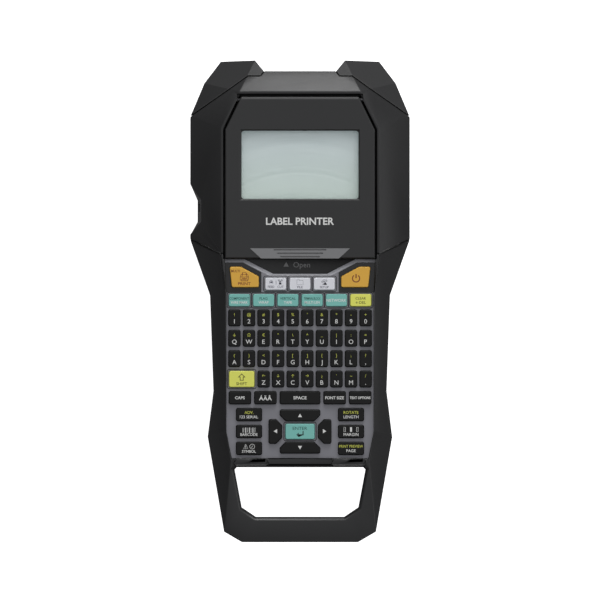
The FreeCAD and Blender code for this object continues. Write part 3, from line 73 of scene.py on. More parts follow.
# A white light table stands for the floor: pale frosted acrylic that glows to the eye,
# and that throws little light up at the sides of the case, as if dark cards stood there.
TABLE_SIZE = 6
TABLE_DROP = 0.0002
bpy.ops.mesh.primitive_plane_add(size=TABLE_SIZE, location=(0, 0, -TABLE_DROP))
floor = bpy.context.object
floor.name = "light_table"
bpy.ops.object.mode_set(mode="EDIT")
bpy.ops.mesh.subdivide(number_cuts=8)
bpy.ops.object.mode_set(mode="OBJECT")
frosted = bpy.data.materials.new("frosted_acrylic")
frosted.use_nodes = True
tree = frosted.node_tree
fibres = tree.nodes.new("ShaderNodeTexNoise")
fibres.inputs["Scale"].default_value = 9
shade = tree.nodes.new("ShaderNodeMix")
shade.data_type = "RGBA"
shade.inputs["A"].default_value = (0.87, 0.87, 0.875, 1)
shade.inputs["B"].default_value = (0.90, 0.90, 0.90, 1)
place = tree.nodes.new("ShaderNodeTexCoord")
tree.links.new(place.outputs["Object"], fibres.inputs["Vector"])
tree.links.new(fibres.outputs["Fac"], shade.inputs["Factor"])
seen = tree.nodes.new("ShaderNodeLightPath")
dim = tree.nodes.new("ShaderNodeMix")
dim.data_type = "RGBA"
dim.inputs["A"].default_value = (0.30, 0.30, 0.30, 1)
tree.links.new(seen.outputs["Is Camera Ray"], dim.inputs["Factor"])
tree.links.new(shade.outputs["Result"], dim.inputs["B"])
shader = tree.nodes["Principled BSDF"]
tree.links.new(dim.outputs["Result"], shader.inputs["Base Color"])
shader.inputs["Roughness"].default_value = 0.9
shader.inputs["Specular IOR Level"].default_value = 0.1
shader.inputs["Emission Color"].default_value = (1, 1, 1, 1)
tree.links.new(seen.outputs["Is Camera Ray"], shader.inputs["Emission Strength"])
floor.data.materials.append(frosted)

# The camera hangs straight above the middle of the case, far enough away that the sides of
# the head hardly show. The view is set by its width at the level of the keys.
EYE_HEIGHT = 6.07
EYE_FORWARD = 0.0006
KEY_LEVEL = 0.07
VIEW_WIDTH = 0.3518
SENSOR = 36
camera = bpy.data.objects.new("camera", bpy.data.cameras.new("camera"))
bpy.context.collection.objects.link(camera)
camera.location = (0, EYE_FORWARD, EYE_HEIGHT)
camera.data.sensor_width = SENSOR
camera.data.lens = SENSOR * (EYE_HEIGHT - KEY_LEVEL) / VIEW_WIDTH
camera.data.clip_start = 0.05
camera.data.clip_end = 20
bpy.context.scene.camera = camera
bpy.context.scene.view_settings.view_transform = "Standard"

# A broad lamp stands low beyond the head, a weaker one at the right hand, and the room is
# darker towards the left and the handle.
LAMP_TARGET = Vector((0, 0, 0.05))
ROOM_SLOPE = (0.12, 0.30, 0.46)
ROOM_LEVEL = 0.20
for lamp_name, power, lamp_width, spot in (
    ("head_lamp", 15, 0.9, (0.15, 1.5, 0.62)),
    ("right_lamp", 2.5, 0.8, (1.5, 0.2, 0.7)),
):
    lamp = bpy.data.objects.new(lamp_name, bpy.data.lights.new(lamp_name, "AREA"))
    bpy.context.collection.objects.link(lamp)
    lamp.data.shape = "DISK"
    lamp.data.size = lamp_width
    lamp.data.energy = power
    lamp.location = spot
    aim = LAMP_TARGET - lamp.location
    lamp.rotation_euler = aim.to_track_quat("-Z", "Y").to_euler()
room = bpy.data.worlds.new("white_room")
room.use_nodes = True
tree = room.node_tree
place = tree.nodes.new("ShaderNodeTexCoord")
towards = tree.nodes.new("ShaderNodeVectorMath")
towards.operation = "DOT_PRODUCT"
towards.inputs[1].default_value = ROOM_SLOPE
tree.links.new(place.outputs["Generated"], towards.inputs[0])
glow = tree.nodes.new("ShaderNodeMath")
glow.operation = "ADD"
glow.inputs[1].default_value = ROOM_LEVEL
glow.use_clamp = True
tree.links.new(towards.outputs["Value"], glow.inputs[0])
tree.links.new(glow.outputs["Value"], tree.nodes["Background"].inputs["Strength"])
tree.nodes["Background"].inputs["Color"].default_value = (0.97, 0.98, 1.0, 1)
bpy.context.scene.world = room

# The two halves of the case are black ABS mouldings with a fine spark-eroded grain, joined
# by screws from behind. Handling has polished their edges a little paler.
EDGE_RADIUS = 0.0007
EDGE_CONTRAST = 6.0
WELD = 0.000005
BEVEL_FROM = math.radians(28)
SMOOTH_BELOW = math.radians(35)


def group_of(name, inputs, outputs):
    """An empty node group with its sockets, and its two end nodes."""
    group = bpy.data.node_groups.new(name, "ShaderNodeTree")
    for title, kind, value in inputs:
        socket = group.interface.new_socket(title, in_out="INPUT", socket_type=kind)
        socket.default_value = value
    for title, kind in outputs:
        group.interface.new_socket(title, in_out="OUTPUT", socket_type=kind)
    return group, group.nodes.new("NodeGroupInput"), group.nodes.new("NodeGroupOutput")


def math_node(tree, operation, first, second):
    """A Math node; each operand is a socket or a number."""
    made = tree.nodes.new("ShaderNodeMath")
    made.operation = operation
    for socket, value in zip(made.inputs, (first, second)):
        if isinstance(value, bpy.types.NodeSocket):
            tree.links.new(value, socket)
        else:
            socket.default_value = value
    return made.outputs[0]


# The surface of every moulding: its colour with a slow change of shade and paler edges, its
# roughness, and the height of its grain.
moulded, start, end = group_of(
    "moulded_surface",
    [("Colour", "NodeSocketColor", (0.1, 0.1, 0.1, 1)),
     ("Second colour", "NodeSocketColor", (0.2, 0.2, 0.2, 1)),
     ("Edge colour", "NodeSocketColor", (0.3, 0.3, 0.3, 1)),
     ("Edge wear", "NodeSocketFloat", 0.3),
     ("Grain", "NodeSocketFloat", 900.0),
     ("Patches", "NodeSocketFloat", 30.0),
     ("Roughness", "NodeSocketFloat", 0.5),
     ("Spread", "NodeSocketFloat", 0.15)],
    [("Colour", "NodeSocketColor"), ("Roughness", "NodeSocketFloat"),
     ("Height", "NodeSocketFloat")])
place = moulded.nodes.new("ShaderNodeTexCoord")
fine = moulded.nodes.new("ShaderNodeTexNoise")
fine.inputs["Detail"].default_value = 3
broad = moulded.nodes.new("ShaderNodeTexNoise")
broad.inputs["Detail"].default_value = 5
for texture, size in ((fine, "Grain"), (broad, "Patches")):
    moulded.links.new(place.outputs["Object"], texture.inputs["Vector"])
    moulded.links.new(start.outputs[size], texture.inputs["Scale"])
shade = moulded.nodes.new("ShaderNodeMix")
shade.data_type = "RGBA"
moulded.links.new(broad.outputs["Fac"], shade.inputs["Factor"])
moulded.links.new(start.outputs["Colour"], shade.inputs["A"])
moulded.links.new(start.outputs["Second colour"], shade.inputs["B"])
rounding = moulded.nodes.new("ShaderNodeBevel")
rounding.samples = 4
rounding.inputs["Radius"].default_value = EDGE_RADIUS
facing = moulded.nodes.new("ShaderNodeNewGeometry")
turn = moulded.nodes.new("ShaderNodeVectorMath")
turn.operation = "DOT_PRODUCT"
moulded.links.new(rounding.outputs["Normal"], turn.inputs[0])
moulded.links.new(facing.outputs["Normal"], turn.inputs[1])
edge = math_node(moulded, "SUBTRACT", 1.0, turn.outputs["Value"])
edge = math_node(moulded, "MULTIPLY", edge, EDGE_CONTRAST)
edge = math_node(moulded, "MULTIPLY", edge, broad.outputs["Fac"])
edge = math_node(moulded, "MULTIPLY", edge, start.outputs["Edge wear"])
edge = math_node(moulded, "MINIMUM", edge, 1.0)
worn = moulded.nodes.new("ShaderNodeMix")
worn.data_type = "RGBA"
moulded.links.new(edge, worn.inputs["Factor"])
moulded.links.new(shade.outputs["Result"], worn.inputs["A"])
moulded.links.new(start.outputs["Edge colour"], worn.inputs["B"])
moulded.links.new(worn.outputs["Result"], end.inputs["Colour"])
both = math_node(moulded, "ADD", fine.outputs["Fac"], broad.outputs["Fac"])
both = math_node(moulded, "SUBTRACT", both, 1.0)
both = math_node(moulded, "MULTIPLY", both, start.outputs["Spread"])
both = math_node(moulded, "ADD", both, start.outputs["Roughness"])
moulded.links.new(both, end.inputs["Roughness"])
moulded.links.new(fine.outputs["Fac"], end.inputs["Height"])


def finish(name, colour, second, edge, wear=0.3, grain=900, patches=30, rough=0.5,
           spread=0.15, depth=0.00003, metallic=0.0, specular=0.5):
    """A material of the moulded surface with its own colours, grain and gloss."""
    made = bpy.data.materials.new(name)
    made.use_nodes = True
    tree = made.node_tree
    surface = tree.nodes.new("ShaderNodeGroup")
    surface.node_tree = moulded
    for socket, value in (
        ("Colour", (*colour, 1)), ("Second colour", (*second, 1)), ("Edge colour", (*edge, 1)),
        ("Edge wear", wear), ("Grain", grain), ("Patches", patches),
        ("Roughness", rough), ("Spread", spread),
    ):
        surface.inputs[socket].default_value = value
    bump = tree.nodes.new("ShaderNodeBump")
    bump.inputs["Strength"].default_value = 1.0
    bump.inputs["Distance"].default_value = depth
    shader = tree.nodes["Principled BSDF"]
    tree.links.new(surface.outputs["Colour"], shader.inputs["Base Color"])
    tree.links.new(surface.outputs["Roughness"], shader.inputs["Roughness"])
    tree.links.new(surface.outputs["Height"], bump.inputs["Height"])
    tree.links.new(bump.outputs["Normal"], shader.inputs["Normal"])
    shader.inputs["Metallic"].default_value = metallic
    shader.inputs["Specular IOR Level"].default_value = specular
    return made


def dress(material, *names):
    """Gives CAD nodes this material in every slot."""
    for name in names:
        for place in node[name].material_slots:
            place.material = material


def eased(name, width, material):
    """A copy of a CAD node with its edges eased by that width, standing for the node."""
    made = bpy.data.objects.new(name + "_eased", node[name].data.copy())
    bpy.context.collection.objects.link(made)
    bpy.ops.object.select_all(action="DESELECT")
    bpy.context.view_layer.objects.active = made
    made.select_set(True)
    bpy.ops.object.mode_set(mode="EDIT")
    bpy.ops.mesh.select_all(action="SELECT")
    bpy.ops.mesh.remove_doubles(threshold=WELD)
    bpy.ops.object.mode_set(mode="OBJECT")
    bevel = made.modifiers.new("eased_edge", "BEVEL")
    bevel.width = width
    bevel.segments = 2
    bevel.limit_method = "ANGLE"
    bevel.angle_limit = BEVEL_FROM
    bevel.miter_outer = "MITER_ARC"
    bevel.use_clamp_overlap = False
    bpy.ops.object.modifier_apply(modifier=bevel.name)
    bpy.ops.object.shade_smooth_by_angle(angle=SMOOTH_BELOW)
    made.data.materials.clear()
    made.data.materials.append(material)
    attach(made, body_of(node[name])[0])
    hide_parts(name)


case_plastic = finish("case_plastic", (0.0095, 0.0095, 0.0100), (0.0140, 0.0140, 0.0145),
                      (0.05, 0.05, 0.05), wear=0.5, grain=1400, rough=0.42, depth=0.00004)
eased("front_shell", 0.0004, case_plastic)
eased("rear_shell", 0.0004, case_plastic)

# Two rubber corner bumpers are pressed over the head's corners, and the rear half of the
# handle loop is the same rubber. It is a little greyer and duller than the case.
rubber = finish("bumper_rubber", (0.0125, 0.0125, 0.0130), (0.0185, 0.0185, 0.0190),
                (0.07, 0.07, 0.07), wear=0.6, grain=1100, rough=0.62, depth=0.00005)
dress(rubber, "corner_bumper_left", "corner_bumper_right", "handle_grip")

# Zinc-plated screws hold the halves together from behind, and the lid turns on blackened
# steel pins. Four soft feet are glued beside the battery door, which slides off towards the
# handle.
screw_metal = finish("zinc_screw", (0.42, 0.42, 0.41), (0.52, 0.52, 0.50), (0.7, 0.7, 0.7),
                     grain=700, patches=200, rough=0.34, depth=0.00001, metallic=1.0)
foot_rubber = finish("foot_rubber", (0.010, 0.010, 0.010), (0.020, 0.020, 0.020),
                     (0.05, 0.05, 0.05), grain=500, rough=0.8, depth=0.00006)
blackened = finish("blackened_steel", (0.030, 0.030, 0.032), (0.040, 0.040, 0.042),
                   (0.2, 0.2, 0.2), grain=700, rough=0.4, depth=0.00001, metallic=1.0)
dress(screw_metal, "housing_screws", "board_screws", "idler_axle")
dress(blackened, "lid_hinge_pins")
dress(foot_rubber, "rubber_feet")
eased("battery_door", 0.0004, case_plastic)

# The charging and data sockets are in one black moulded block in the right side of the
# head, and a soft flap that swings out covers them.
port_plastic = finish("socket_plastic", (0.012, 0.012, 0.013), (0.018, 0.018, 0.019),
                      (0.05, 0.05, 0.05), grain=1600, rough=0.35, depth=0.00001)
dress(port_plastic, "port_block")
eased("port_cover", 0.0003, foot_rubber)

# The display lid closes the cassette bay. It is the same black ABS in a satin finish, with
# a polished window plate let into it and a grey lift tab along its lower edge.
lid_plastic = finish("lid_plastic", (0.0165, 0.0165, 0.0170), (0.0200, 0.0200, 0.0205),
                     (0.06, 0.06, 0.06), wear=0.3, grain=1700, rough=0.48, spread=0.08,
                     depth=0.00002)
inner_plastic = finish("inner_plastic", (0.022, 0.022, 0.023), (0.030, 0.030, 0.031),
                       (0.08, 0.08, 0.08), grain=1000, rough=0.6)
tab_plastic = finish("tab_plastic", (0.185, 0.185, 0.190), (0.215, 0.215, 0.220),
                     (0.30, 0.30, 0.30), wear=0.4, grain=1200, rough=0.5)
dress(lid_plastic, "display_lid")
dress(inner_plastic, "lid_inner_cover")
dress(tab_plastic, "lid_grip_tab")

# The window is clear acrylic over a reflective LCD: a grey-green field of tiny cells,
# greener towards its lower edge, in a black mask that leaves a thin shaded border.
clear = bpy.data.materials.new("window_acrylic")
clear.use_nodes = True
tree = clear.node_tree
shader = tree.nodes["Principled BSDF"]
shader.inputs["Base Color"].default_value = (0.30, 0.32, 0.32, 1)
shader.inputs["Alpha"].default_value = 0.06
place = tree.nodes.new("ShaderNodeTexCoord")
smear = tree.nodes.new("ShaderNodeTexNoise")
smear.inputs["Scale"].default_value = 60
smear.inputs["Detail"].default_value = 4
gloss = tree.nodes.new("ShaderNodeMapRange")
gloss.inputs["To Min"].default_value = 0.01
gloss.inputs["To Max"].default_value = 0.06
tree.links.new(place.outputs["Object"], smear.inputs["Vector"])
tree.links.new(smear.outputs["Fac"], gloss.inputs["Value"])
tree.links.new(gloss.outputs["Result"], shader.inputs["Roughness"])
dress(clear, "lcd_window")

CELLS_PER_METRE = 1887
window_low, window_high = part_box("lcd_module")
lcd = bpy.data.materials.new("lcd_cells")
lcd.use_nodes = True
tree = lcd.node_tree
shader = tree.nodes["Principled BSDF"]
shader.inputs["Specular IOR Level"].default_value = 0.3
place = tree.nodes.new("ShaderNodeTexCoord")
split = tree.nodes.new("ShaderNodeSeparateXYZ")
tree.links.new(place.outputs["Object"], split.inputs["Vector"])
rise = tree.nodes.new("ShaderNodeMapRange")
rise.interpolation_type = "SMOOTHSTEP"
rise.inputs["From Min"].default_value = window_low.y
rise.inputs["From Max"].default_value = window_high.y
tree.links.new(split.outputs["Y"], rise.inputs["Value"])
field = tree.nodes.new("ShaderNodeMix")
field.data_type = "RGBA"
field.inputs["A"].default_value = (0.82, 0.93, 0.87, 1)
field.inputs["B"].default_value = (0.84, 0.92, 0.93, 1)
tree.links.new(rise.outputs["Result"], field.inputs["Factor"])
cells = tree.nodes.new("ShaderNodeTexChecker")
cells.inputs["Scale"].default_value = CELLS_PER_METRE
cells.inputs["Color1"].default_value = (1, 1, 1, 1)
cells.inputs["Color2"].default_value = (0.985, 0.985, 0.985, 1)
tree.links.new(place.outputs["Object"], cells.inputs["Vector"])
dots = tree.nodes.new("ShaderNodeMix")
dots.data_type = "RGBA"
dots.blend_type = "MULTIPLY"
dots.inputs["Factor"].default_value = 1.0
tree.links.new(field.outputs["Result"], dots.inputs["A"])
tree.links.new(cells.outputs["Color"], dots.inputs["B"])
tree.links.new(dots.outputs["Result"], shader.inputs["Base Color"])
shader.inputs["Roughness"].default_value = 0.35
# The faint emission makes the cells glow a little: painted light, as the reflective LCD has no
# lamp of its own.
shader.inputs["Emission Color"].default_value = (0.85, 0.98, 0.95, 1)
shader.inputs["Emission Strength"].default_value = 0.05
dress(lcd, "lcd_module")

# The keyboard's bezel is a grey painted plate, and two black plates sit in its corners round
# the print and power keys. Its bevelled rim at the head is painted paler: a painted highlight.
HIGHLIGHT_FROM = 0.3
HIGHLIGHT_FULL = 0.6
bezel_paint = finish("bezel_paint", (0.212, 0.210, 0.232), (0.242, 0.240, 0.265),
                     (0.42, 0.42, 0.45), wear=0.5, grain=1500, rough=0.42, spread=0.08,
                     depth=0.000015)
tree = bezel_paint.node_tree
shader = tree.nodes["Principled BSDF"]
flat_colour = shader.inputs["Base Color"].links[0].from_socket
# Faces that turn towards the head, as the rim does, are mixed to a paler grey: a painted
# highlight from the lamp beyond the head.
facing = tree.nodes.new("ShaderNodeNewGeometry")
split = tree.nodes.new("ShaderNodeSeparateXYZ")
tree.links.new(facing.outputs["Normal"], split.inputs["Vector"])
facing_head_lamp = tree.nodes.new("ShaderNodeMapRange")
facing_head_lamp.inputs["From Min"].default_value = HIGHLIGHT_FROM
facing_head_lamp.inputs["From Max"].default_value = HIGHLIGHT_FULL
tree.links.new(split.outputs["Y"], facing_head_lamp.inputs["Value"])
rim = tree.nodes.new("ShaderNodeMix")
rim.data_type = "RGBA"
rim.inputs["B"].default_value = (0.42, 0.42, 0.45, 1)
tree.links.new(facing_head_lamp.outputs["Result"], rim.inputs["Factor"])
tree.links.new(flat_colour, rim.inputs["A"])
tree.links.new(rim.outputs["Result"], shader.inputs["Base Color"])
dress(bezel_paint, "keypad_bezel")
surround_gloss = finish("surround_plastic", (0.010, 0.010, 0.010), (0.014, 0.014, 0.014),
                        (0.05, 0.05, 0.05), grain=1500, rough=0.3, depth=0.00001)
dress(surround_gloss, "key_surrounds")

# The keys are moulded silicone caps with rounded edges and a satin lacquer, in five colours.
# Each row moves on its own body, and the printing on a key rides with it.
key_black = finish("key_black", (0.0045, 0.0045, 0.0042), (0.0065, 0.0065, 0.0062),
                   (0.03, 0.03, 0.03), grain=1300, rough=0.45, depth=0.00001, specular=0.25)
key_green = finish("key_green", (0.185, 0.500, 0.445), (0.200, 0.530, 0.475),
                   (0.35, 0.60, 0.55), wear=0.2, grain=1300, rough=0.42, depth=0.00001)
key_yellow = finish("key_yellow", (0.760, 0.770, 0.125), (0.800, 0.810, 0.140),
                    (0.75, 0.77, 0.40), wear=0.2, grain=1300, rough=0.42, depth=0.00001)
key_orange = finish("key_orange", (0.720, 0.395, 0.045), (0.760, 0.420, 0.052),
                    (0.75, 0.55, 0.25), wear=0.2, grain=1300, rough=0.42, depth=0.00001)
key_white = finish("key_white", (0.740, 0.745, 0.790), (0.780, 0.785, 0.830),
                   (0.75, 0.75, 0.75), wear=0.2, grain=1300, rough=0.42, depth=0.00001)
dress(key_black, "number_keys", "upper_letter_keys", "home_letter_keys", "lower_letter_keys",
      "edit_keys", "space_key", "side_keys", "down_key", "up_key", "left_key", "right_key")
dress(key_green, "function_keys", "enter_key")
dress(key_yellow, "shift_key", "clear_key")
dress(key_orange, "print_key", "power_key")
dress(key_white, "tool_keys")

# A thin black ring lies round each pale key, in the edge of its opening in the bezel: a painted
# shadow that stands for the dark gap round the key.
def centre(name):
    """The middle of a node's box at rest."""
    low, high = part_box(name)
    return (low + high) / 2


def width(name):
    """A node's size across the machine."""
    low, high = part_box(name)
    return high.x - low.x


PITCH = (width("number_keys") - width("lower_letter_keys")) / 2
NARROW_KEYS = 10
WIDE_KEYS = 6
WIDE_PITCH = PITCH * NARROW_KEYS / WIDE_KEYS
KEY_GAP = 0.0003
GAP_SHADOW_WIDTH = 0.0004
GAP_SHADOW_CORNER = 0.0013
GAP_SHADOW_HEIGHT = 0.00004
BEZEL_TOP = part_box("keypad_bezel")[1].z
# The ring's matt black is painted shadow for the gap, not a part of the machine.
gap_shadow_black = finish("gap_shadow_black", (0.006, 0.006, 0.006), (0.010, 0.010, 0.010),
                      (0.02, 0.02, 0.02), wear=0.0, grain=900, rough=0.7, depth=0.00001)


def gap_shadow_ring(name, x, y, across, along):
    """A flat rounded ring round the opening of a key of that size, black as painted shadow of
    its gap.
    """
    bpy.ops.object.select_all(action="DESELECT")
    bpy.ops.mesh.primitive_plane_add(size=1)
    made = bpy.context.object
    made.name = name
    outer = 2 * (KEY_GAP + GAP_SHADOW_WIDTH)
    made.data.transform(Matrix.Translation((x, y, BEZEL_TOP))
                        @ Matrix.Diagonal((across + outer, along + outer, 1, 1)))
    bpy.ops.object.mode_set(mode="EDIT")
    bpy.ops.mesh.select_all(action="SELECT")
    bpy.ops.mesh.bevel(offset=GAP_SHADOW_CORNER, segments=4, affect="VERTICES")
    bpy.ops.mesh.select_all(action="SELECT")
    bpy.ops.mesh.inset(thickness=GAP_SHADOW_WIDTH, depth=0)
    bpy.ops.mesh.delete(type="ONLY_FACE")
    bpy.ops.mesh.select_all(action="SELECT")
    bpy.ops.mesh.extrude_region_move(TRANSFORM_OT_translate={"value": (0, 0, GAP_SHADOW_HEIGHT)})
    bpy.ops.mesh.select_all(action="SELECT")
    bpy.ops.mesh.normals_make_consistent(inside=False)
    bpy.ops.object.mode_set(mode="OBJECT")
    made.data.materials.append(gap_shadow_black)
    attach(made, "root")


for row, count in (("function_keys", 5), ("tool_keys", 3), ("clear_key", 1), ("shift_key", 1),
                   ("enter_key", 1)):
    low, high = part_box(row)
    across = width(row) - (count - 1) * WIDE_PITCH
    for place in range(count):
        gap_shadow_ring("%s_lip_%d" % (row, place + 1), low.x + across / 2 + place * WIDE_PITCH,
                centre(row).y, across, high.y - low.y)


# The printing on the keys is pad-printed ink, a few hundredths of a millimetre thick. Main
# characters are white, and the second characters above them yellow-green.
INK_HEIGHT = 0.00002
CAPITAL = 0.72
FIRST_PICTURE = 0x2000
KEY_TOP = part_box("number_keys")[1].z
SPREAD_OF_INK = 0.00005


def ink(name, colour, second):
    """A printed ink: matt, with faint uneven cover."""
    return finish(name, colour, second, second, wear=0.0, grain=2500, patches=400, rough=0.6,
                  depth=0.000004)


def printed(name, words, body, material, height=KEY_TOP, bold=SPREAD_OF_INK):
    """Printed words as one piece; each word is (text, x, y, height of a capital, squeeze).

    A word is centred on the height of a capital, and a picture on its own height.
    """
    bpy.ops.object.select_all(action="DESELECT")
    parts = []
    for text, x, y, size, squeeze in words:
        bpy.ops.object.text_add()
        word = bpy.context.object
        word.data.body = text
        word.data.align_x = "CENTER"
        word.data.size = size / CAPITAL
        word.data.resolution_u = 3
        word.data.extrude = INK_HEIGHT
        word.data.offset = bold
        bpy.ops.object.convert(target="MESH")
        across = [corner[0] for corner in word.bound_box]
        along = [corner[1] for corner in word.bound_box]
        middle = Vector(((min(across) + max(across)) / 2, size / 2, 0))
        if ord(text[0]) > FIRST_PICTURE:
            middle.y = (min(along) + max(along)) / 2
        word.data.transform(Matrix.Translation((x, y, height))
                            @ Matrix.Diagonal((squeeze, 1, 1, 1)) @ Matrix.Translation(-middle))
        parts.append(word)
    for word in parts:
        word.select_set(True)
    bpy.context.view_layer.objects.active = parts[0]
    bpy.ops.object.join()
    made = bpy.context.object
    made.name = name
    made.data.materials.clear()
    made.data.materials.append(material)
    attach(made, body)
    return made


white_ink = ink("white_ink", (0.72, 0.72, 0.70), (0.80, 0.80, 0.78))
lime_ink = ink("lime_ink", (0.52, 0.54, 0.07), (0.60, 0.62, 0.10))

# The number and letter keys have one large white character each, and a smaller second one
# above it for use with shift.
MAIN_LETTER = 0.0026
SECOND_LETTER = 0.0018
OFF_MIDDLE = 0.00195
ROW_MIDDLE = (NARROW_KEYS - 1) / 2
for row, characters, shifted, first in (
    ("number_keys", "1234567890", "!@#$%'&*-+", 0),
    ("upper_letter_keys", "QWERTYUIOP", "⏚Ω€\"\\^_|:=", 0),
    ("home_letter_keys", "ASDFGHJKL,", "()<>[]{};?", 0),
    ("lower_letter_keys", "ZXCVBNM.", "←↓↑→¿`~/", 2),
):
    y = centre(row).y
    columns = [(place + first - ROW_MIDDLE) * PITCH for place in range(len(characters))]
    printed(row + "_letters", [(letter, x, y - OFF_MIDDLE, MAIN_LETTER, 1.0)
                               for letter, x in zip(characters, columns)], row, white_ink,
            bold=0.00001)
    printed(row + "_shifted", [(letter, x, y + OFF_MIDDLE, SECOND_LETTER, 1.0)
                               for letter, x in zip(shifted, columns)], row, lime_ink,
            bold=0.00001)

# The row under the letters and the two side columns carry words and small pictures in
# white. Three of the side keys have a second word in yellow-green.
y = centre("space_key").y
printed("edit_words", [("CAPS", -4.125 * PITCH, y, 0.0017, 1.05),
                       ("ÁÄÂ", -2.375 * PITCH, y - 0.0003, 0.0024, 1.1),
                       ("FONT SIZE", 2.375 * PITCH, y, 0.0017, 0.98),
                       ("TEXT OPTIONS", 4.125 * PITCH, y, 0.0015, 0.84)], "edit_keys", white_ink)
printed("space_word", [("SPACE", 0, y, 0.0018, 1.1)], "space_key", white_ink)
y = centre("side_keys").y
column = 3.5 * PITCH
step = (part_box("side_keys")[1].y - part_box("side_keys")[0].y
        - (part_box("space_key")[1].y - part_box("space_key")[0].y)) / 2
printed("side_words", [
    ("123 SERIAL", -column, y + step - 0.0013, 0.0017, 1.0),
    ("BARCODE", -column, y - 0.0017, 0.0016, 1.0),
    ("|||▮||▮|▮||", -column, y + 0.0012, 0.0022, 0.50),
    ("SYMBOL", -column, y - step - 0.0017, 0.0016, 1.0),
    ("⚠", -column - 0.0019, y - step + 0.0011, 0.0019, 1.0),
    ("⊘", -column + 0.0019, y - step + 0.0011, 0.0016, 1.0),
    ("LENGTH", column, y + step - 0.0013, 0.0017, 1.0),
    ("MARGIN", column, y - 0.0017, 0.0017, 1.0),
    ("▯▮▯", column, y + 0.0012, 0.0019, 1.4),
    ("PAGE", column, y - step - 0.0013, 0.0017, 1.0)], "side_keys", white_ink, bold=0.00002)
printed("side_second_words", [
    ("ADV.", -column, y + step + 0.0013, 0.0017, 1.0),
    ("ROTATE", column, y + step + 0.0013, 0.0017, 1.0),
    ("PRINT PREVIEW", column, y - step + 0.0013, 0.0016, 0.9)], "side_keys", lime_ink,
        bold=0.00002)

# The four arrow keys round the enter key each have one small filled triangle, printed white
# in the middle of the cap.
ARROW_SIZE = 0.0019
for key, arrow, dx, dy in (("up_key", "▲", 0, 0), ("down_key", "▼", 0, 0),
                           ("left_key", "◄", 0, 0.0002), ("right_key", "►", 0, 0.0002)):
    printed(key + "_arrow", [(arrow, centre(key).x + dx, centre(key).y + dy, ARROW_SIZE, 1.0)],
            key, white_ink, bold=0.0)

# Dark inks go on the coloured keys: teal on green, olive on yellow, slate on white, and
# dark red on orange.
teal_ink = ink("teal_ink", (0.016, 0.070, 0.062), (0.022, 0.085, 0.075))
olive_ink = ink("olive_ink", (0.085, 0.080, 0.012), (0.11, 0.10, 0.02))
slate_ink = ink("slate_ink", (0.035, 0.038, 0.070), (0.050, 0.053, 0.090))
red_ink = ink("red_ink", (0.17, 0.022, 0.010), (0.20, 0.030, 0.014))
black_ink = ink("black_ink", (0.012, 0.012, 0.012), (0.020, 0.020, 0.020))
WIDE_MIDDLE = (WIDE_KEYS - 1) / 2
FULL_WORD = 8.0
y = centre("function_keys").y
top_words = ("COMPONENT", "FLAG", "VERTICAL", "TERMINAL/BLOCK")
low_words = ("WIRE MARK", "WRAP", "TAPE", "MULTI LEN")
for name, words, dy, material in (("function_words", top_words, 0.0011, teal_ink),
                                  ("function_second_words", low_words, -0.0012, white_ink)):
    lines = [(word, (place - WIDE_MIDDLE) * WIDE_PITCH, y + dy, 0.0015,
              min(1.0, FULL_WORD / len(word)))
             for place, word in enumerate(words)]
    if material is white_ink:
        lines.append(("NETWORK", 1.5 * WIDE_PITCH, y, 0.0017, 1.0))
    printed(name, lines, "function_keys", material, bold=0.00002)
enter = centre("enter_key")
printed("enter_word", [("ENTER", 0, enter.y + 0.0019, 0.0019, 1.1)], "enter_key", teal_ink,
        bold=0.00001)
printed("enter_arrow", [("↵", 0, enter.y - 0.0015, 0.0036, 1.0)], "enter_key", black_ink,
        bold=0.0001)
clear_key = centre("clear_key")
printed("clear_words", [("CLEAR", clear_key.x, clear_key.y + 0.0012, 0.0015, 1.0),
                        ("←DEL", clear_key.x, clear_key.y - 0.0013, 0.0016, 1.05)],
        "clear_key", olive_ink, bold=0.00002)
shift = centre("shift_key")
printed("shift_words", [("⇧", shift.x, shift.y + 0.0012, 0.0038, 1.0),
                        ("SHIFT", shift.x, shift.y - 0.0027, 0.0017, 1.1)],
        "shift_key", olive_ink, bold=0.00003)
tools = centre("tool_keys")
printed("tool_words", [
    ("∩", -WIDE_PITCH - 0.0026, tools.y + 0.0011, 0.0019, 1.3),
    ("▲", -WIDE_PITCH - 0.0026, tools.y + 0.0011, 0.0011, 1.0),
    ("|", -WIDE_PITCH + 0.0002, tools.y + 0.0011, 0.0018, 1.0),
    ("✂", -WIDE_PITCH + 0.0027, tools.y + 0.0011, 0.0021, 1.0),
    ("FEED", -WIDE_PITCH - 0.0027, tools.y - 0.0017, 0.0013, 1.0),
    ("CUT", -WIDE_PITCH + 0.0028, tools.y - 0.0017, 0.0013, 1.0),
    ("🗀", 0, tools.y + 0.0009, 0.0030, 1.0),
    ("FILE", 0, tools.y - 0.0019, 0.0013, 1.1),
    ("🛠", WIDE_PITCH, tools.y + 0.0009, 0.0023, 1.0),
    ("SETUP", WIDE_PITCH, tools.y - 0.0019, 0.0013, 1.05)], "tool_keys", slate_ink,
        bold=0.00001)
print_low, print_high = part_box("print_key")
printed("print_words", [
    ("MULTI", print_low.x + 0.0038, print_high.y - 0.0029, 0.0014, 0.95),
    ("🖨", print_low.x + 0.0090, print_high.y - 0.0063, 0.0036, 1.0),
    ("PRINT", print_low.x + 0.0090, print_low.y + 0.0026, 0.0018, 1.1)], "print_key", red_ink,
        bold=0.00003)
power = centre("power_key")
printed("power_sign", [("⏻", power.x + 0.0002, power.y - 0.0007, 0.0042, 1.0)], "power_key",
        red_ink, bold=0.00004)

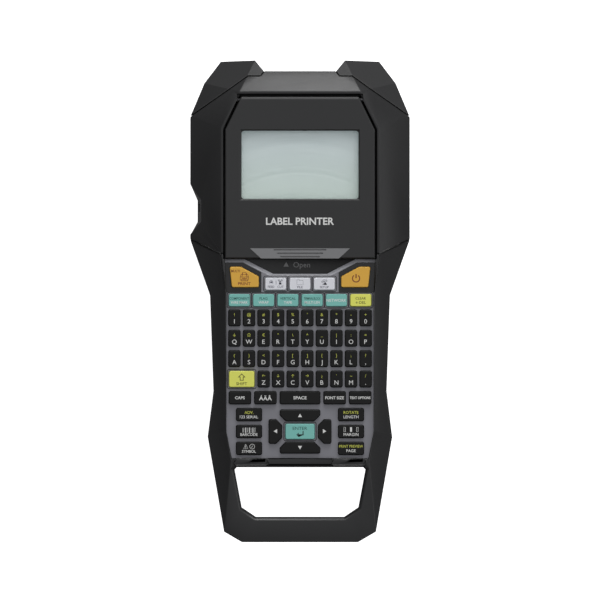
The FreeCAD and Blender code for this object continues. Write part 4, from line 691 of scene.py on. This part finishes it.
# Grey paint on the floor of the finger recess shows where the lid opens: a small arrow that
# points at the lift tab, and a word beside it.
RECESS_DEPTH = 0.0041
grey_ink = ink("grey_ink", (0.170, 0.170, 0.170), (0.200, 0.200, 0.200))
recess_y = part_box("lid_grip_tab")[0].y - 0.0034
recess_floor = BEZEL_TOP - RECESS_DEPTH
printed("open_sign", [("▲", -0.0081, recess_y, 0.0024, 1.0),
                      ("Open", 0.0010, recess_y - 0.0002, 0.0032, 1.0)], "root", grey_ink,
        height=recess_floor, bold=0.00002)

# A plain name for the machine is printed in white ink on the flat of the lid, between the
# window and the lift tab.
NAME_ABOVE_TAB = 0.0160
NAME_HEIGHT = 0.0042
printed("lid_words",
        [("LABEL PRINTER", 0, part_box("lid_grip_tab")[1].y + NAME_ABOVE_TAB, NAME_HEIGHT, 1.0)],
        "lid", white_ink, height=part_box("display_lid")[1].z, bold=0.00012)

# Under the lid and the keys: the tray, the circuit boards, the print head on its sprung
# bracket, the platen and its gear train, the cutter, and the battery behind its contacts.
silicone = finish("mat_silicone", (0.20, 0.20, 0.20), (0.25, 0.25, 0.25), (0.4, 0.4, 0.4),
                  grain=600, rough=0.7)
board = finish("board_lacquer", (0.010, 0.075, 0.030), (0.014, 0.100, 0.042),
               (0.10, 0.22, 0.12), grain=500, patches=160, rough=0.28, depth=0.00001)
brass = finish("spacer_brass", (0.62, 0.44, 0.16), (0.70, 0.50, 0.20), (0.85, 0.7, 0.4),
               grain=700, rough=0.32, depth=0.00001, metallic=1.0)
tray_plastic = finish("tray_plastic", (0.030, 0.030, 0.032), (0.040, 0.040, 0.042),
                      (0.10, 0.10, 0.10), grain=900, rough=0.55)
plated = finish("plated_steel", (0.55, 0.55, 0.53), (0.63, 0.63, 0.60), (0.8, 0.8, 0.8),
                grain=900, patches=90, rough=0.30, depth=0.00001, metallic=1.0)
sink = finish("heat_sink", (0.30, 0.30, 0.31), (0.36, 0.36, 0.37), (0.6, 0.6, 0.6),
              grain=900, rough=0.45, depth=0.00002, metallic=1.0)
platen = finish("platen_rubber", (0.018, 0.018, 0.018), (0.026, 0.026, 0.026),
                (0.06, 0.06, 0.06), grain=800, rough=0.7, depth=0.00004)
gear = finish("gear_acetal", (0.70, 0.69, 0.64), (0.76, 0.75, 0.70), (0.85, 0.85, 0.8),
              grain=900, rough=0.35, depth=0.00001)
spindle = finish("spindle_plastic", (0.045, 0.045, 0.050), (0.060, 0.060, 0.065),
                 (0.15, 0.15, 0.15), grain=900, rough=0.4)
wrap = finish("battery_wrap", (0.020, 0.035, 0.080), (0.026, 0.044, 0.095),
              (0.10, 0.12, 0.20), grain=400, rough=0.3, depth=0.00002)
gold = finish("contact_gold", (0.85, 0.60, 0.22), (0.90, 0.66, 0.28), (0.95, 0.8, 0.5),
              grain=900, rough=0.25, depth=0.00001, metallic=1.0)
dress(silicone, "keypad_mat")
dress(board, "keypad_board", "main_board")
dress(brass, "board_spacers")
dress(tray_plastic, "bay_tray", "drive_plate", "cutter_frame")
dress(plated, "print_chassis", "head_springs", "platen_shaft", "feed_motor", "fixed_blade",
      "cutter_blade", "motor_pinion")
dress(sink, "print_head")
dress(platen, "platen_roller")
dress(gear, "platen_gear", "spindle_gear", "idler_gear")
dress(spindle, "ribbon_spindle")
dress(wrap, "battery_pack")
dress(gold, "battery_contacts")
